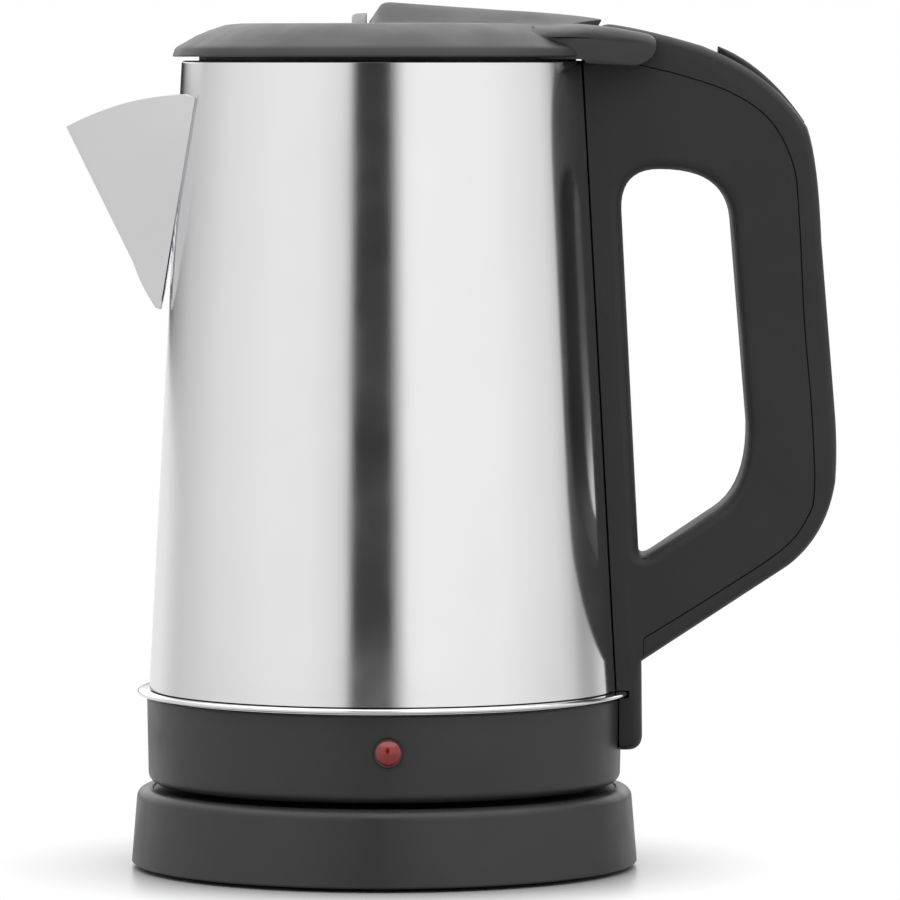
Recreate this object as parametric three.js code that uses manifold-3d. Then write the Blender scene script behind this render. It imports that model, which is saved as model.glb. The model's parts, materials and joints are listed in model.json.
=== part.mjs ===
// A cordless electric kettle on its power base, as an assembly of separate pieces.
// Millimetres, +Z up. The origin is on the kettle's upright axis, at the underside of the base.
// The spout points along -X and the handle along +X.

import * as THREE from 'three';
import { mergeVertices } from 'three/addons/utils/BufferGeometryUtils.js';
import { ConvexGeometry } from 'three/addons/geometries/ConvexGeometry.js';
import Module from 'manifold-3d';

const wasm = await Module();
wasm.setup();

// ---------------------------------------------------------------- driving sizes

const fitGap = 0.3; // between pieces that are fixed face to face
const runGap = 0.6; // round a piece that slides or turns
const sheet = 0.8; // steel sheet of the body and the spout
const wall = 2.4; // moulded plastic walls

const bodyFootRadius = 68.3;
const bodyMouthRadius = 58.6;
const bodyHeight = 181.9;
const rimLip = 2.2; // how far the rolled rim turns inwards

const collarHeight = 25;
const collarStep = 0.7; // the collar stands this far outside the steel
const collarEdge = 3;
const beadHeight = 1.8;
const beadStep = 3.5;

const baseHeight = 21.9;
const baseStep = 3; // the base's top stands this far outside the collar
const baseFlare = 1.5;
const baseEdge = 3;
const standGap = 1.5; // shadow gap between base and collar
const footDepth = 1.2;
const footRadius = 6;

const towerRadius = 16.2;
const towerHeight = 15.1;
const socketWall = 5;

const lidOverhang = 2.6;
const lidGap = 1.1;
const lidCrown = 9.7; // height of the lid's dome
const lidWall = 2.2;
const humpHeight = 6.1;

const handleWidth = 26;
const handleEdge = 2.5;
const handleWall = 2.6;
const armWidth = 5;
const armRadius = 4.8;
const armGap = 0.4; // between each arm and the tongue between them

const lampRadius = 4;
const lampX = 1.7;

const pinRadius = 1.5;
const armMiddle = handleWidth / 2 + armGap + armWidth / 2;
const pinHalf = handleWidth / 2 + armGap + armWidth - 1.3; // half the length of the hinge pin
const buttonTravel = 2.5;

// ---------------------------------------------------------------- places worked out from them

const collarRadius = bodyFootRadius + collarStep;
const beadRadius = bodyFootRadius + beadStep;
const baseTopRadius = collarRadius + baseStep;
const baseFootRadius = baseTopRadius + baseFlare;

const deckZ = baseHeight;
const towerTopZ = deckZ + towerHeight;
const collarBottomZ = deckZ + standGap;
const collarTopZ = collarBottomZ + collarHeight;
const beadBottomZ = collarTopZ + fitGap;
const beadTopZ = beadBottomZ + beadHeight;
const bodyBottomZ = beadTopZ + fitGap;
const bodyTopZ = bodyBottomZ + bodyHeight;
const lidRadius = bodyMouthRadius + lidOverhang;
const lidZ = bodyTopZ + lidGap;
const crownZ = lidZ + lidCrown;
const lampZ = collarBottomZ + 14.6;

// The hinge axis runs along Y through this point, behind the mouth.
const hinge = { x: bodyMouthRadius + 15.1, z: bodyTopZ + 3.5 };
const tongueRadius = 13.2; // the handle's tongue is round about the hinge
const rocker = { x: bodyMouthRadius + 53.4, z: bodyTopZ - 13.2, halfWidth: 7 };
const rockerTilt = 8; // degrees
const rockerGap = 1; // round the rocker's cap, in its slot

function bodyRadiusAt(z) {
  return THREE.MathUtils.mapLinear(z, bodyBottomZ, bodyTopZ, bodyFootRadius, bodyMouthRadius);
}

// Points of the handle are given from the mouth (its upper half) or from the foot (its lower half).
const fromMouth = (dx, dz) => new THREE.Vector2(bodyMouthRadius + dx, bodyTopZ + dz);
const fromFoot = (dx, dz) => new THREE.Vector2(bodyFootRadius + dx, bodyBottomZ + dz);

// ---------------------------------------------------------------- materials

const paint = (color, roughness, metalness = 0, opacity = 1) =>
  new THREE.MeshStandardMaterial({ color, roughness, metalness, opacity, transparent: opacity < 1 });

const materials = {
  blackPlastic: paint(0x2b2b2c, 0.42),
  glossPlastic: paint(0x1d1d1e, 0.25),
  innerPlastic: paint(0x3a3a3c, 0.6),
  polishedSteel: paint(0xcfd0d2, 0.16, 1),
  chrome: paint(0xe6e7e9, 0.08, 1),
  steel: paint(0x9a9b9e, 0.35, 1),
  aluminium: paint(0xb4b6b9, 0.45, 1),
  brass: paint(0xb58f3e, 0.35, 1),
  rubber: paint(0x161616, 0.85),
  redLens: paint(0x8c0f12, 0.15, 0, 0.9),
  glass: paint(0xf0d9c8, 0.05, 0, 0.4),
  ceramic: paint(0xe6e0d2, 0.7),
  seal: paint(0xb9b9b4, 0.6),
};

// ---------------------------------------------------------------- solids

const roundSegments = 40; // facets round the large turned pieces

function signedVolume(positions, triangles) {
  const a = new THREE.Vector3();
  const b = new THREE.Vector3();
  const c = new THREE.Vector3();
  let volume = 0;
  for (let i = 0; i < triangles.length; i += 3) {
    a.fromArray(positions, triangles[i] * 3);
    b.fromArray(positions, triangles[i + 1] * 3);
    c.fromArray(positions, triangles[i + 2] * 3);
    volume += a.dot(b.cross(c)) / 6;
  }
  return volume;
}

// A closed three.js geometry as a solid that can be joined and cut.
function solid(geometry) {
  const bare = geometry.clone();
  bare.deleteAttribute('normal');
  bare.deleteAttribute('uv');
  const merged = mergeVertices(bare, 1e-4);
  const index = merged.index.array;
  const positions = merged.attributes.position.array;
  const triangles = [];
  for (let i = 0; i < index.length; i += 3) {
    const [a, b, c] = index.slice(i, i + 3);
    if (a !== b && b !== c && c !== a) triangles.push(a, b, c);
  }
  if (signedVolume(positions, triangles) < 0) triangles.reverse();
  return new wasm.Manifold(new wasm.Mesh({
    numProp: 3,
    vertProperties: Float32Array.from(positions),
    triVerts: Uint32Array.from(triangles),
  }));
}

function geometryOf(manifold) {
  const { vertProperties, triVerts } = manifold.getMesh();
  const geometry = new THREE.BufferGeometry();
  geometry.setAttribute('position', new THREE.BufferAttribute(vertProperties, 3));
  geometry.setIndex(new THREE.BufferAttribute(triVerts, 1));
  geometry.computeVertexNormals();
  return geometry;
}

const joined = (first, ...others) => others.reduce((whole, piece) => whole.add(piece), first);
const cut = (first, ...others) => others.reduce((rest, tool) => rest.subtract(tool), first);

// A profile of [radius, height] pairs turned about the Z axis.
function turned(profile, segments = roundSegments) {
  const points = profile.map(([r, z]) => new THREE.Vector2(r, z));
  const closes = profile[0][0] > 0 || profile.at(-1)[0] > 0;
  if (closes) points.push(points[0].clone());
  return solid(new THREE.LatheGeometry(points, segments).rotateX(Math.PI / 2));
}

// Points on an arc of the profile, from one angle to the other, in degrees.
function arc(r, z, radius, from, to, steps = 3) {
  const at = (i) => THREE.MathUtils.degToRad(THREE.MathUtils.lerp(from, to, i / steps));
  const point = (_, i) => [r + radius * Math.cos(at(i)), z + radius * Math.sin(at(i))];
  return Array.from({ length: steps + 1 }, point);
}

function post(radius, z0, z1, x = 0, y = 0, segments = 12) {
  const rod = new THREE.CylinderGeometry(radius, radius, z1 - z0, segments);
  return solid(rod.rotateX(Math.PI / 2).translate(x, y, (z0 + z1) / 2));
}

const ring = (inner, outer, z0, z1, segments = 32) =>
  turned([[inner, z0], [outer, z0], [outer, z1], [inner, z1]], segments);

function block(x0, x1, y0, y1, z0, z1) {
  const box = new THREE.BoxGeometry(x1 - x0, y1 - y0, z1 - z0);
  return solid(box.translate((x0 + x1) / 2, (y0 + y1) / 2, (z0 + z1) / 2));
}

// A rod along X or Y, for screws, pins and holes that lie on their side.
function rodX(radius, x0, x1, z, segments = 16) {
  const rod = new THREE.CylinderGeometry(radius, radius, x1 - x0, segments);
  return solid(rod.rotateZ(Math.PI / 2).translate((x0 + x1) / 2, 0, z));
}

function rodY(radius, y0, y1, x, z, segments = 16) {
  const rod = new THREE.CylinderGeometry(radius, radius, y1 - y0, segments);
  return solid(rod.translate(x, (y0 + y1) / 2, z));
}

// An outline in the XZ plane given a width along Y, centred on the XZ plane, with rounded edges.
function slab(shape, width, { edge = 0, y = 0, curveSegments = 8 } = {}) {
  const geometry = new THREE.ExtrudeGeometry(shape, {
    depth: width - 2 * edge,
    bevelEnabled: edge > 0,
    bevelThickness: edge,
    bevelSize: edge,
    bevelOffset: -edge,
    bevelSegments: 2,
    curveSegments,
  });
  return solid(geometry.rotateX(Math.PI / 2).translate(0, width / 2 - edge + y, 0));
}

const outline = (points) => new THREE.Shape(points.map((p) => new THREE.Vector2(p.x ?? p[0], p.y ?? p[1])));

// The points moved sideways, to the left of the way they run.
function shifted(points, distance) {
  return points.map((point, i) => {
    const before = points[Math.max(i - 1, 0)];
    const after = points[Math.min(i + 1, points.length - 1)];
    const along = after.clone().sub(before).normalize();
    return new THREE.Vector2(point.x - along.y * distance, point.y + along.x * distance);
  });
}

// A closed outline's points, moved in the same way.
function shiftedLoop(points, distance) {
  const loop = points.slice(0, -1);
  const round = [loop.at(-1), ...loop, loop[0]];
  return shifted(round, distance).slice(1, -1);
}

const polar = (radius, degrees) => {
  const angle = THREE.MathUtils.degToRad(degrees);
  return [radius * Math.cos(angle), radius * Math.sin(angle)];
};

// A wire wound into a coil about the Z axis, from z0 to z1.
function coil(radius, wire, turns, z0, z1, x = 0, y = 0) {
  const path = new THREE.Curve();
  path.getPoint = (t) => {
    const [px, py] = polar(radius, 360 * turns * t);
    return new THREE.Vector3(px, py, THREE.MathUtils.lerp(z0 + wire, z1 - wire, t));
  };
  const section = new THREE.Shape().absarc(0, 0, wire, 0, 2 * Math.PI);
  const options = { extrudePath: path, steps: turns * 8, curveSegments: 2, bevelEnabled: false };
  return solid(new THREE.ExtrudeGeometry(section, options).translate(x, y, 0));
}

// A pan-head screw along Z. Its shank runs from the head towards +Z.
const screwHead = { radius: 2.8, height: 1.2 };
const screwShank = 1.3;

function screw(x, y, headZ, length) {
  const head = post(screwHead.radius, headZ, headZ + screwHead.height, x, y, 10);
  const shank = post(screwShank, headZ + 0.5, headZ + screwHead.height + length, x, y, 8);
  return joined(head, shank);
}

function screwHole(x, y, headZ, length) {
  const head = post(screwHead.radius + fitGap, headZ - wall, headZ + screwHead.height + fitGap, x, y, 10);
  const shank = post(screwShank + fitGap, headZ, headZ + screwHead.height + length + runGap, x, y, 8);
  return joined(head, shank);
}

// ---------------------------------------------------------------- the assembly

const kettle = new THREE.Group();
kettle.name = 'electric_kettle';

function add(name, body, material) {
  const mesh = new THREE.Mesh(geometryOf(body), materials[material]);
  mesh.name = name;
  kettle.add(mesh);
}

// ---------------------------------------------------------------- power base

const baseScrewAngles = [30, 150, 270];
const baseScrewRadius = 0.76 * baseTopRadius;
const baseScrewHeadZ = 0.3;
const baseScrewLength = 9;
const footAngles = [90, 210, 330];
const footCircle = 0.8 * baseTopRadius;
const footTopZ = 0.6;
const towerFlange = { radius: towerRadius + 6, thickness: 2 };
const glandRadius = 5;
const glandBore = 3.2; // room for a mains lead
const glandZ = 0.42 * baseHeight;

function baseShell() {
  const innerDeckZ = deckZ - wall;
  const shell = turned([
    [baseFootRadius, 0],
    ...arc(baseTopRadius - baseEdge, deckZ - baseEdge, baseEdge, 0, 90, 4),
    [towerRadius + fitGap, deckZ],
    [towerRadius + fitGap, innerDeckZ],
    [baseTopRadius - baseEdge - 0.6, innerDeckZ],
    [baseTopRadius - wall, innerDeckZ - 1.2],
    [baseFootRadius - wall, 0],
  ]);
  const bosses = baseScrewAngles.map((degrees) => {
    const [x, y] = polar(baseScrewRadius, degrees);
    const tall = post(4, baseBottomThickness + fitGap, innerDeckZ + 0.5, x, y);
    return cut(tall, screwHole(x, y, baseScrewHeadZ, baseScrewLength));
  });
  const glandHole = rodY(glandRadius + fitGap, baseTopRadius - 8, baseFootRadius + 5, 0, glandZ);
  return joined(cut(shell, glandHole), ...bosses);
}

const baseBottomThickness = wall;

function baseBottomCover() {
  const radius = baseFootRadius - wall - 0.5;
  const plate = post(radius, 0, baseBottomThickness, 0, 0, roundSegments);
  const holes = baseScrewAngles.map((degrees) =>
    screwHole(...polar(baseScrewRadius, degrees), baseScrewHeadZ, baseScrewLength));
  const recesses = footAngles.map((degrees) =>
    post(footRadius + fitGap, -1, footTopZ + fitGap, ...polar(footCircle, degrees)));
  return cut(plate, ...holes, ...recesses);
}

function connectorTower() {
  const flangeTopZ = deckZ - wall - fitGap;
  const flangeZ = flangeTopZ - towerFlange.thickness;
  const body = turned([
    [0, flangeZ],
    [towerFlange.radius, flangeZ],
    [towerFlange.radius, flangeTopZ],
    [towerRadius, flangeTopZ],
    [towerRadius, towerTopZ - 1.5],
    [towerRadius - 1.5, towerTopZ],
    [0, towerTopZ],
  ]);
  const grooveGap = 1.5 * runGap;
  const groove = ring(contactRing.inner - grooveGap, contactRing.outer + grooveGap, deckZ, towerTopZ + 1);
  const bore = post(earthPinRadius + runGap * 2, flangeZ - 1, towerTopZ + 1);
  const middle = (contactRing.inner + contactRing.outer) / 2;
  const slots = [-1, 1].map((side) =>
    block(side * middle - 1.2, side * middle + 1.2, -2, 2, flangeZ - 1, deckZ + 1));
  return cut(body, groove, bore, ...slots);
}

const earthPinRadius = 2;
const contactRing = { inner: 9, outer: 10.4 };
const stripThickness = 0.7;

// A spring strip under the tower: a flat tail, and a finger that stands up to meet its contact.
function contactStrip(x, tailEnd) {
  const z = deckZ - wall - 6;
  const fingerTopZ = deckZ + 2.4;
  const half = stripThickness / 2;
  const [from, to] = [Math.min(x, tailEnd) - half, Math.max(x, tailEnd) + half];
  const tail = block(from, to, -1.5, 1.5, z, z + stripThickness);
  const finger = block(x - half, x + half, -1.5, 1.5, z, fingerTopZ);
  return joined(tail, finger);
}

function earthContactStrip() {
  const z = deckZ - wall - 8;
  const tail = block(-0.6, 0.6, 0, 14, z, z + stripThickness);
  const finger = block(-0.6, 0.6, 0, stripThickness, z, deckZ + 0.8);
  return joined(tail, finger);
}

function cordGland() {
  const outerY = baseFootRadius;
  const profile = [
    [glandBore, 0],
    [glandRadius, 0],
    [glandRadius, 5],
    [glandRadius + 1.2, 5],
    [glandRadius + 1.2, 6.5],
    [glandBore, 6.5],
  ];
  const bush = turned(profile, 24).rotate([90, 0, 0]);
  return bush.translate([0, outerY - 0.7, glandZ]);
}

function cordClamp() {
  const y = baseTopRadius - 20;
  const bar = block(-9, 9, y - 3, y + 3, glandZ + glandBore, glandZ + glandBore + 2.5);
  return cut(bar, ...clampScrewX.map((x) => post(screwShank + fitGap, glandZ, glandZ + 9, x, y, 10)));
}

const clampScrewX = [-6, 6];

function clampScrew(x) {
  const y = baseTopRadius - 20;
  const seat = glandZ + glandBore + 2.5 + fitGap;
  const head = post(screwHead.radius, seat, seat + screwHead.height, x, y, 12);
  return joined(head, post(screwShank, baseBottomThickness + 1, seat + 0.5, x, y, 10));
}

function addPowerBase() {
  add('base_shell', baseShell(), 'blackPlastic');
  add('base_bottom_cover', baseBottomCover(), 'innerPlastic');
  footAngles.forEach((degrees, i) => {
    const [x, y] = polar(footCircle, degrees);
    add(`base_foot_${i + 1}`, post(footRadius, -footDepth, footTopZ, x, y, 20), 'rubber');
  });
  baseScrewAngles.forEach((degrees, i) => {
    const [x, y] = polar(baseScrewRadius, degrees);
    add(`base_screw_${i + 1}`, screw(x, y, baseScrewHeadZ, baseScrewLength), 'steel');
  });
  add('base_connector_tower', connectorTower(), 'innerPlastic');
  const middle = (contactRing.inner + contactRing.outer) / 2;
  add('base_line_contact', contactStrip(middle, 24), 'brass');
  add('base_neutral_contact', contactStrip(-middle, -24), 'brass');
  add('base_earth_contact', earthContactStrip(), 'brass');
  add('cord_gland', cordGland(), 'rubber');
  add('cord_clamp', cordClamp(), 'innerPlastic');
  clampScrewX.forEach((x, i) => add(`cord_clamp_screw_${i + 1}`, clampScrew(x), 'steel'));
}

// ---------------------------------------------------------------- connector under the kettle

const socketBore = towerRadius + 2.2;
const socketRadius = socketBore + socketWall;
const socketCeilingZ = towerTopZ + 1.5;
const socketTopZ = socketCeilingZ + 2.2;
const socketBottomZ = deckZ + 0.9;
const bottomCoverZ = collarBottomZ + fitGap;
const bottomCoverTopZ = bottomCoverZ + wall;

function connectorSocket() {
  const flangeZ = bottomCoverTopZ + fitGap;
  return turned([
    [0, socketCeilingZ],
    [socketBore, socketCeilingZ],
    [socketBore, socketBottomZ],
    [socketRadius, socketBottomZ],
    [socketRadius, flangeZ],
    [socketRadius + 5, flangeZ],
    [socketRadius + 5, flangeZ + 1.8],
    [socketRadius, flangeZ + 1.8],
    [socketRadius, socketTopZ],
    [0, socketTopZ],
  ]);
}

function addConnector() {
  const contactTopZ = socketCeilingZ - fitGap;
  add('connector_socket', connectorSocket(), 'innerPlastic');
  add('connector_earth_pin', post(earthPinRadius, deckZ + 3.2, contactTopZ), 'brass');
  const line = ring(contactRing.inner, contactRing.outer, deckZ + 3.2, contactTopZ);
  add('connector_line_ring', line, 'brass');
  const sleeve = ring(towerRadius + 1, socketBore - fitGap, deckZ + 5, contactTopZ);
  add('connector_neutral_sleeve', sleeve, 'brass');
}

// ---------------------------------------------------------------- kettle collar and underside

const coverScrewAngles = [60, 180, 300];
const coverScrewRadius = collarRadius - 12;
const coverRadius = collarRadius - 7.3;
const coverScrewLength = 8;
const restRing = { inner: collarRadius - 23, outer: collarRadius - 20 };

function collarHousing() {
  const outerFoot = collarRadius - 0.4;
  const innerRadius = collarRadius - wall - 0.6;
  const shell = turned([
    [coverRadius + fitGap, collarBottomZ],
    ...arc(outerFoot - collarEdge, collarBottomZ + collarEdge, collarEdge, -90, 0, 4),
    [collarRadius, collarTopZ],
    [collarRadius - wall, collarTopZ],
    [innerRadius, collarBottomZ + collarEdge + 1],
    [innerRadius - 1, collarBottomZ + wall],
    [coverRadius + fitGap, collarBottomZ + wall],
  ]);
  const bosses = coverScrewAngles.map((degrees) => {
    const [x, y] = polar(coverScrewRadius + 3, degrees);
    const tall = post(6.6, bottomCoverTopZ + fitGap, bottomCoverTopZ + 12, x, y);
    const hole = polar(coverScrewRadius, degrees);
    return cut(tall, screwHole(...hole, bottomCoverZ + 0.3, coverScrewLength));
  });
  const lampHole = rodY(lampSleeve + fitGap, -collarRadius - 5, -collarRadius + 9, lampX, lampZ, 20);
  const fixing = rodX(screwShank + fitGap, collarRadius - 8, collarRadius + 4, lowerScrewZ, 10);
  return cut(joined(shell, ...bosses), lampHole, fixing);
}

function kettleBottomCover() {
  const plate = ring(socketRadius + runGap, coverRadius, bottomCoverZ, bottomCoverTopZ, roundSegments);
  const rest = ring(restRing.inner, restRing.outer, deckZ + fitGap, bottomCoverZ + 1, roundSegments);
  const holes = coverScrewAngles.map((degrees) =>
    screwHole(...polar(coverScrewRadius, degrees), bottomCoverZ + 0.3, coverScrewLength));
  return cut(joined(plate, rest), ...holes);
}

function trimBead() {
  const inner = bodyFootRadius - 2.3;
  const middleZ = (beadBottomZ + beadTopZ) / 2;
  const round = beadHeight / 2;
  return turned([
    [inner, beadBottomZ],
    ...arc(beadRadius - round, middleZ, round, -90, 90, 6),
    [inner, beadTopZ],
  ]);
}

// ---------------------------------------------------------------- indicator lamp

const lampSleeve = lampRadius - 0.75;

// Pieces of the lamp are turned about Z and then laid over to face the front.
const facingFront = (body) => body.rotate([90, 0, 0]).translate([lampX, 0, lampZ]);

function indicatorBezel() {
  const face = collarRadius + fitGap;
  return facingFront(turned([
    [lampSleeve - 0.35, face - 5],
    [lampSleeve, face - 5],
    [lampSleeve, face],
    [lampRadius, face],
    [lampRadius, face + 0.4],
    [lampRadius - 0.4, face + 0.8],
    [lampSleeve - 0.35, face + 0.8],
  ], 32));
}

function indicatorLens() {
  const radius = lampSleeve - 0.35 - 0.2;
  const face = collarRadius + fitGap + 0.6;
  return facingFront(turned([
    [0, face - 5],
    [radius, face - 5],
    [radius, face],
    [radius * 0.8, face + 0.7],
    [radius * 0.45, face + 1.15],
    [0, face + 1.3],
  ], 32));
}

const neonBack = () => collarRadius - 15;

function neonLamp() {
  const back = neonBack();
  return facingFront(turned([
    [0, back],
    [1.9, back],
    [1.9, back + 8],
    [1.2, back + 9.4],
    [0, back + 10],
  ], 16));
}

function lampHolder() {
  const y = neonBack();
  const body = block(lampX - 4, lampX + 4, -y - 6, -y + 6, lampZ - 4, lampZ + 4);
  const seat = rodY(1.9 + fitGap, -y - 10, -y + fitGap, lampX, lampZ);
  return cut(body, seat);
}

function addUnderside() {
  add('collar_housing', collarHousing(), 'blackPlastic');
  add('kettle_bottom_cover', kettleBottomCover(), 'innerPlastic');
  coverScrewAngles.forEach((degrees, i) => {
    const [x, y] = polar(coverScrewRadius, degrees);
    add(`bottom_cover_screw_${i + 1}`, screw(x, y, bottomCoverZ + 0.3, coverScrewLength), 'steel');
  });
  add('trim_bead', trimBead(), 'chrome');
  add('indicator_bezel', indicatorBezel(), 'glossPlastic');
  add('indicator_lens', indicatorLens(), 'redLens');
  add('neon_lamp', neonLamp(), 'glass');
  add('lamp_holder', lampHolder(), 'ceramic');
}

// ---------------------------------------------------------------- heater and control

const plateZ = bodyBottomZ + 0.6;
const spreaderRadius = 0.78 * bodyFootRadius;
const elementRadius = 0.62 * bodyFootRadius;
const elementTube = 3;
const spreaderThickness = 1.6;
const elementZ = plateZ - fitGap - spreaderThickness - fitGap - elementTube;

function heatingElement() {
  const path = new THREE.Curve();
  path.getPoint = (t) => {
    const [x, y] = polar(elementRadius, 20 + 320 * t);
    return new THREE.Vector3(x, y, elementZ);
  };
  const section = new THREE.Shape().absarc(0, 0, elementTube, 0, 2 * Math.PI);
  const options = { extrudePath: path, steps: 32, curveSegments: 5, bevelEnabled: false };
  return solid(new THREE.ExtrudeGeometry(section, options));
}

function controlUnit() {
  const bottomZ = socketTopZ + fitGap;
  const topZ = plateZ - fitGap - spreaderThickness - fitGap - 1.2;
  const disc = post(0.4 * bodyFootRadius, bottomZ, topZ, 0, 0, 32);
  const pockets = [-1, 1].map((side) => post(8.3, topZ - 0.9, topZ + 1, 0, side * 12, 20));
  return cut(disc, ...pockets);
}

function dryBoilBimetal(side) {
  const topZ = plateZ - fitGap - spreaderThickness - fitGap - 1.2;
  return post(8, topZ - 0.6, topZ, 0, side * 12, 20);
}

function addHeater() {
  const inside = bodyRadiusAt(plateZ) - sheet - fitGap - 0.2;
  add('heating_plate', post(inside, plateZ, plateZ + 1, 0, 0, roundSegments), 'steel');
  const spreaderTopZ = plateZ - fitGap;
  const spreader = post(spreaderRadius, spreaderTopZ - spreaderThickness, spreaderTopZ, 0, 0, 48);
  add('heat_spreader', spreader, 'aluminium');
  add('heating_element', heatingElement(), 'steel');
  add('control_unit', controlUnit(), 'ceramic');
  add('dry_boil_bimetal_1', dryBoilBimetal(-1), 'steel');
  add('dry_boil_bimetal_2', dryBoilBimetal(1), 'steel');
}

// ---------------------------------------------------------------- steel body and spout

const lowerScrewZ = collarTopZ - 7;
const steamHole = { radius: 4, z: bodyTopZ - 12 };
const upperScrewZ = bodyTopZ - 24;
const strainer = { pitch: 5, radius: 1.5, rows: 8, topZ: bodyTopZ - 17 };

// The cone that the steel body's outside follows, grown by the given gap.
function bodyCone(grow) {
  return turned([
    [0, bodyBottomZ - fitGap],
    [bodyFootRadius + grow, bodyBottomZ - fitGap],
    [bodyMouthRadius + grow, bodyTopZ + fitGap],
    [0, bodyTopZ + fitGap],
  ]);
}

function strainerHoles() {
  const holes = [];
  for (let row = 0; row < strainer.rows; row += 1) {
    const z = strainer.topZ - row * strainer.pitch;
    const radius = bodyRadiusAt(z);
    const reach = spoutHalfWidth(z) - 4;
    const count = 2 * Math.floor(reach / strainer.pitch) + 1;
    for (let i = 0; i < count; i += 1) {
      const aside = (i - (count - 1) / 2) * strainer.pitch;
      const hole = rodX(strainer.radius, -radius - 3, -radius + 4, z, 8);
      holes.push(hole.rotate([0, 0, -THREE.MathUtils.radToDeg(aside / radius)]));
    }
  }
  return holes;
}

function bodyShell() {
  const shell = turned([
    [bodyFootRadius, bodyBottomZ],
    [bodyMouthRadius, bodyTopZ - 0.5],
    [bodyMouthRadius - 0.5, bodyTopZ],
    [bodyMouthRadius - rimLip, bodyTopZ],
    [bodyMouthRadius - rimLip, bodyTopZ - sheet],
    [bodyMouthRadius - sheet, bodyTopZ - sheet - 0.5],
    [bodyFootRadius - sheet, bodyBottomZ],
  ]);
  const steam = rodX(steamHole.radius, bodyMouthRadius - 6, bodyMouthRadius + 8, steamHole.z, 12);
  const bolt = rodX(screwShank + fitGap, bodyMouthRadius - 6, bodyMouthRadius + 10, upperScrewZ, 10);
  return cut(shell, steam, bolt, ...strainerHoles());
}

// Half the spout's width where it meets the body, wide at the top and narrow at its foot.
const spoutWidths = [[-72, 1.6], [-46, 13.5], [-33, 18.8], [-21, 22.4], [-10, 25], [6, 28.5]];

function spoutHalfWidth(z) {
  const dz = z - bodyTopZ;
  const after = Math.max(1, spoutWidths.findIndex(([at]) => at >= dz));
  const [lower, upper] = [spoutWidths[after - 1], spoutWidths[after]];
  return THREE.MathUtils.mapLinear(dz, lower[0], upper[0], lower[1], upper[1]);
}

// Side outline of the spout: a straight keel, a small nose, and an arched upper edge.
function spoutSide() {
  const shape = new THREE.Shape();
  const at = (dx, dz) => [-bodyMouthRadius - dx, bodyTopZ + dz];
  shape.moveTo(...at(-20, -76));
  shape.lineTo(...at(6.4, -76));
  shape.quadraticCurveTo(...at(7.6, -72.4), ...at(9.8, -69.7));
  shape.lineTo(...at(32.2, -24.6));
  shape.quadraticCurveTo(...at(33.2, -22), ...at(33.6, -19));
  shape.quadraticCurveTo(...at(17, -11.9), ...at(-0.2, -10.1));
  shape.quadraticCurveTo(...at(-3, -9.8), ...at(-4.8, -11.6));
  shape.lineTo(...at(-20, -14));
  return shape;
}

// The spout's two cheeks with the space between them, set in by the sheet's thickness if asked.
function spoutWedge(inset, rise = 0) {
  const keel = (dz) => -bodyMouthRadius - 9.8 - (dz + 69.7) * 0.497 + inset * 2.2;
  const points = [];
  for (const [dz, half] of spoutWidths) {
    const z = bodyTopZ + dz;
    const edge = Math.max(half - inset * 1.06, 0.4);
    const radius = bodyRadiusAt(z) - 4;
    const x = -Math.sqrt(radius ** 2 - Math.min(half, radius) ** 2);
    const nose = 0.45 + 0.9 * (1 - inset);
    for (const side of [-1, 1]) {
      points.push(new THREE.Vector3(x, side * edge, z + rise));
      points.push(new THREE.Vector3(keel(dz), side * Math.min(nose, edge), z + rise));
    }
  }
  return solid(new ConvexGeometry(points));
}

function spout() {
  const outer = spoutWedge(0).intersect(slab(spoutSide(), 80));
  const inner = spoutWedge(sheet);
  return cut(outer, inner, bodyCone(fitGap));
}

function addBody() {
  add('body_shell', bodyShell(), 'polishedSteel');
  add('spout', spout(), 'polishedSteel');
}

// ---------------------------------------------------------------- handle

function handleOutline() {
  const railX = collarRadius + 5.8;
  const railZ = collarBottomZ + 9.8;
  const shape = new THREE.Shape();
  const curve = (a, b) => shape.quadraticCurveTo(a.x, a.y, b.x, b.y);
  const line = (p) => shape.lineTo(p.x, p.y);
  const start = THREE.MathUtils.degToRad(162);
  const end = Math.PI + Math.asin((hinge.z - bodyTopZ + fitGap) / tongueRadius);
  const arcTop = new THREE.Vector2(
    hinge.x + tongueRadius * Math.cos(start), hinge.z + tongueRadius * Math.sin(start));
  shape.absarc(hinge.x, hinge.z, tongueRadius, start, end, false);
  line(new THREE.Vector2(bodyMouthRadius - 18, bodyTopZ - fitGap));
  line(new THREE.Vector2(bodyMouthRadius - 18, railZ));
  line(new THREE.Vector2(railX - 4, railZ));
  curve(new THREE.Vector2(railX, railZ), new THREE.Vector2(railX, railZ + 4));
  line(fromFoot(6.3, 8.7));
  line(fromFoot(50.3, 36.9));
  curve(fromFoot(59.7, 46.2), fromFoot(62.2, 60.2));
  curve(fromFoot(63, 70), fromFoot(61.9, 83.2));
  line(fromMouth(67.8, -52.2));
  curve(fromMouth(66.9, -28.7), fromMouth(63.6, -19.2));
  curve(fromMouth(53.9, -4.4), fromMouth(36.7, 2.8));
  line(fromMouth(33.4, 4.2));
  curve(fromMouth(17.8, 8.9), fromMouth(9.5, 10.1));
  curve(fromMouth(4.4, 11), arcTop);
  return shape;
}

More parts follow.
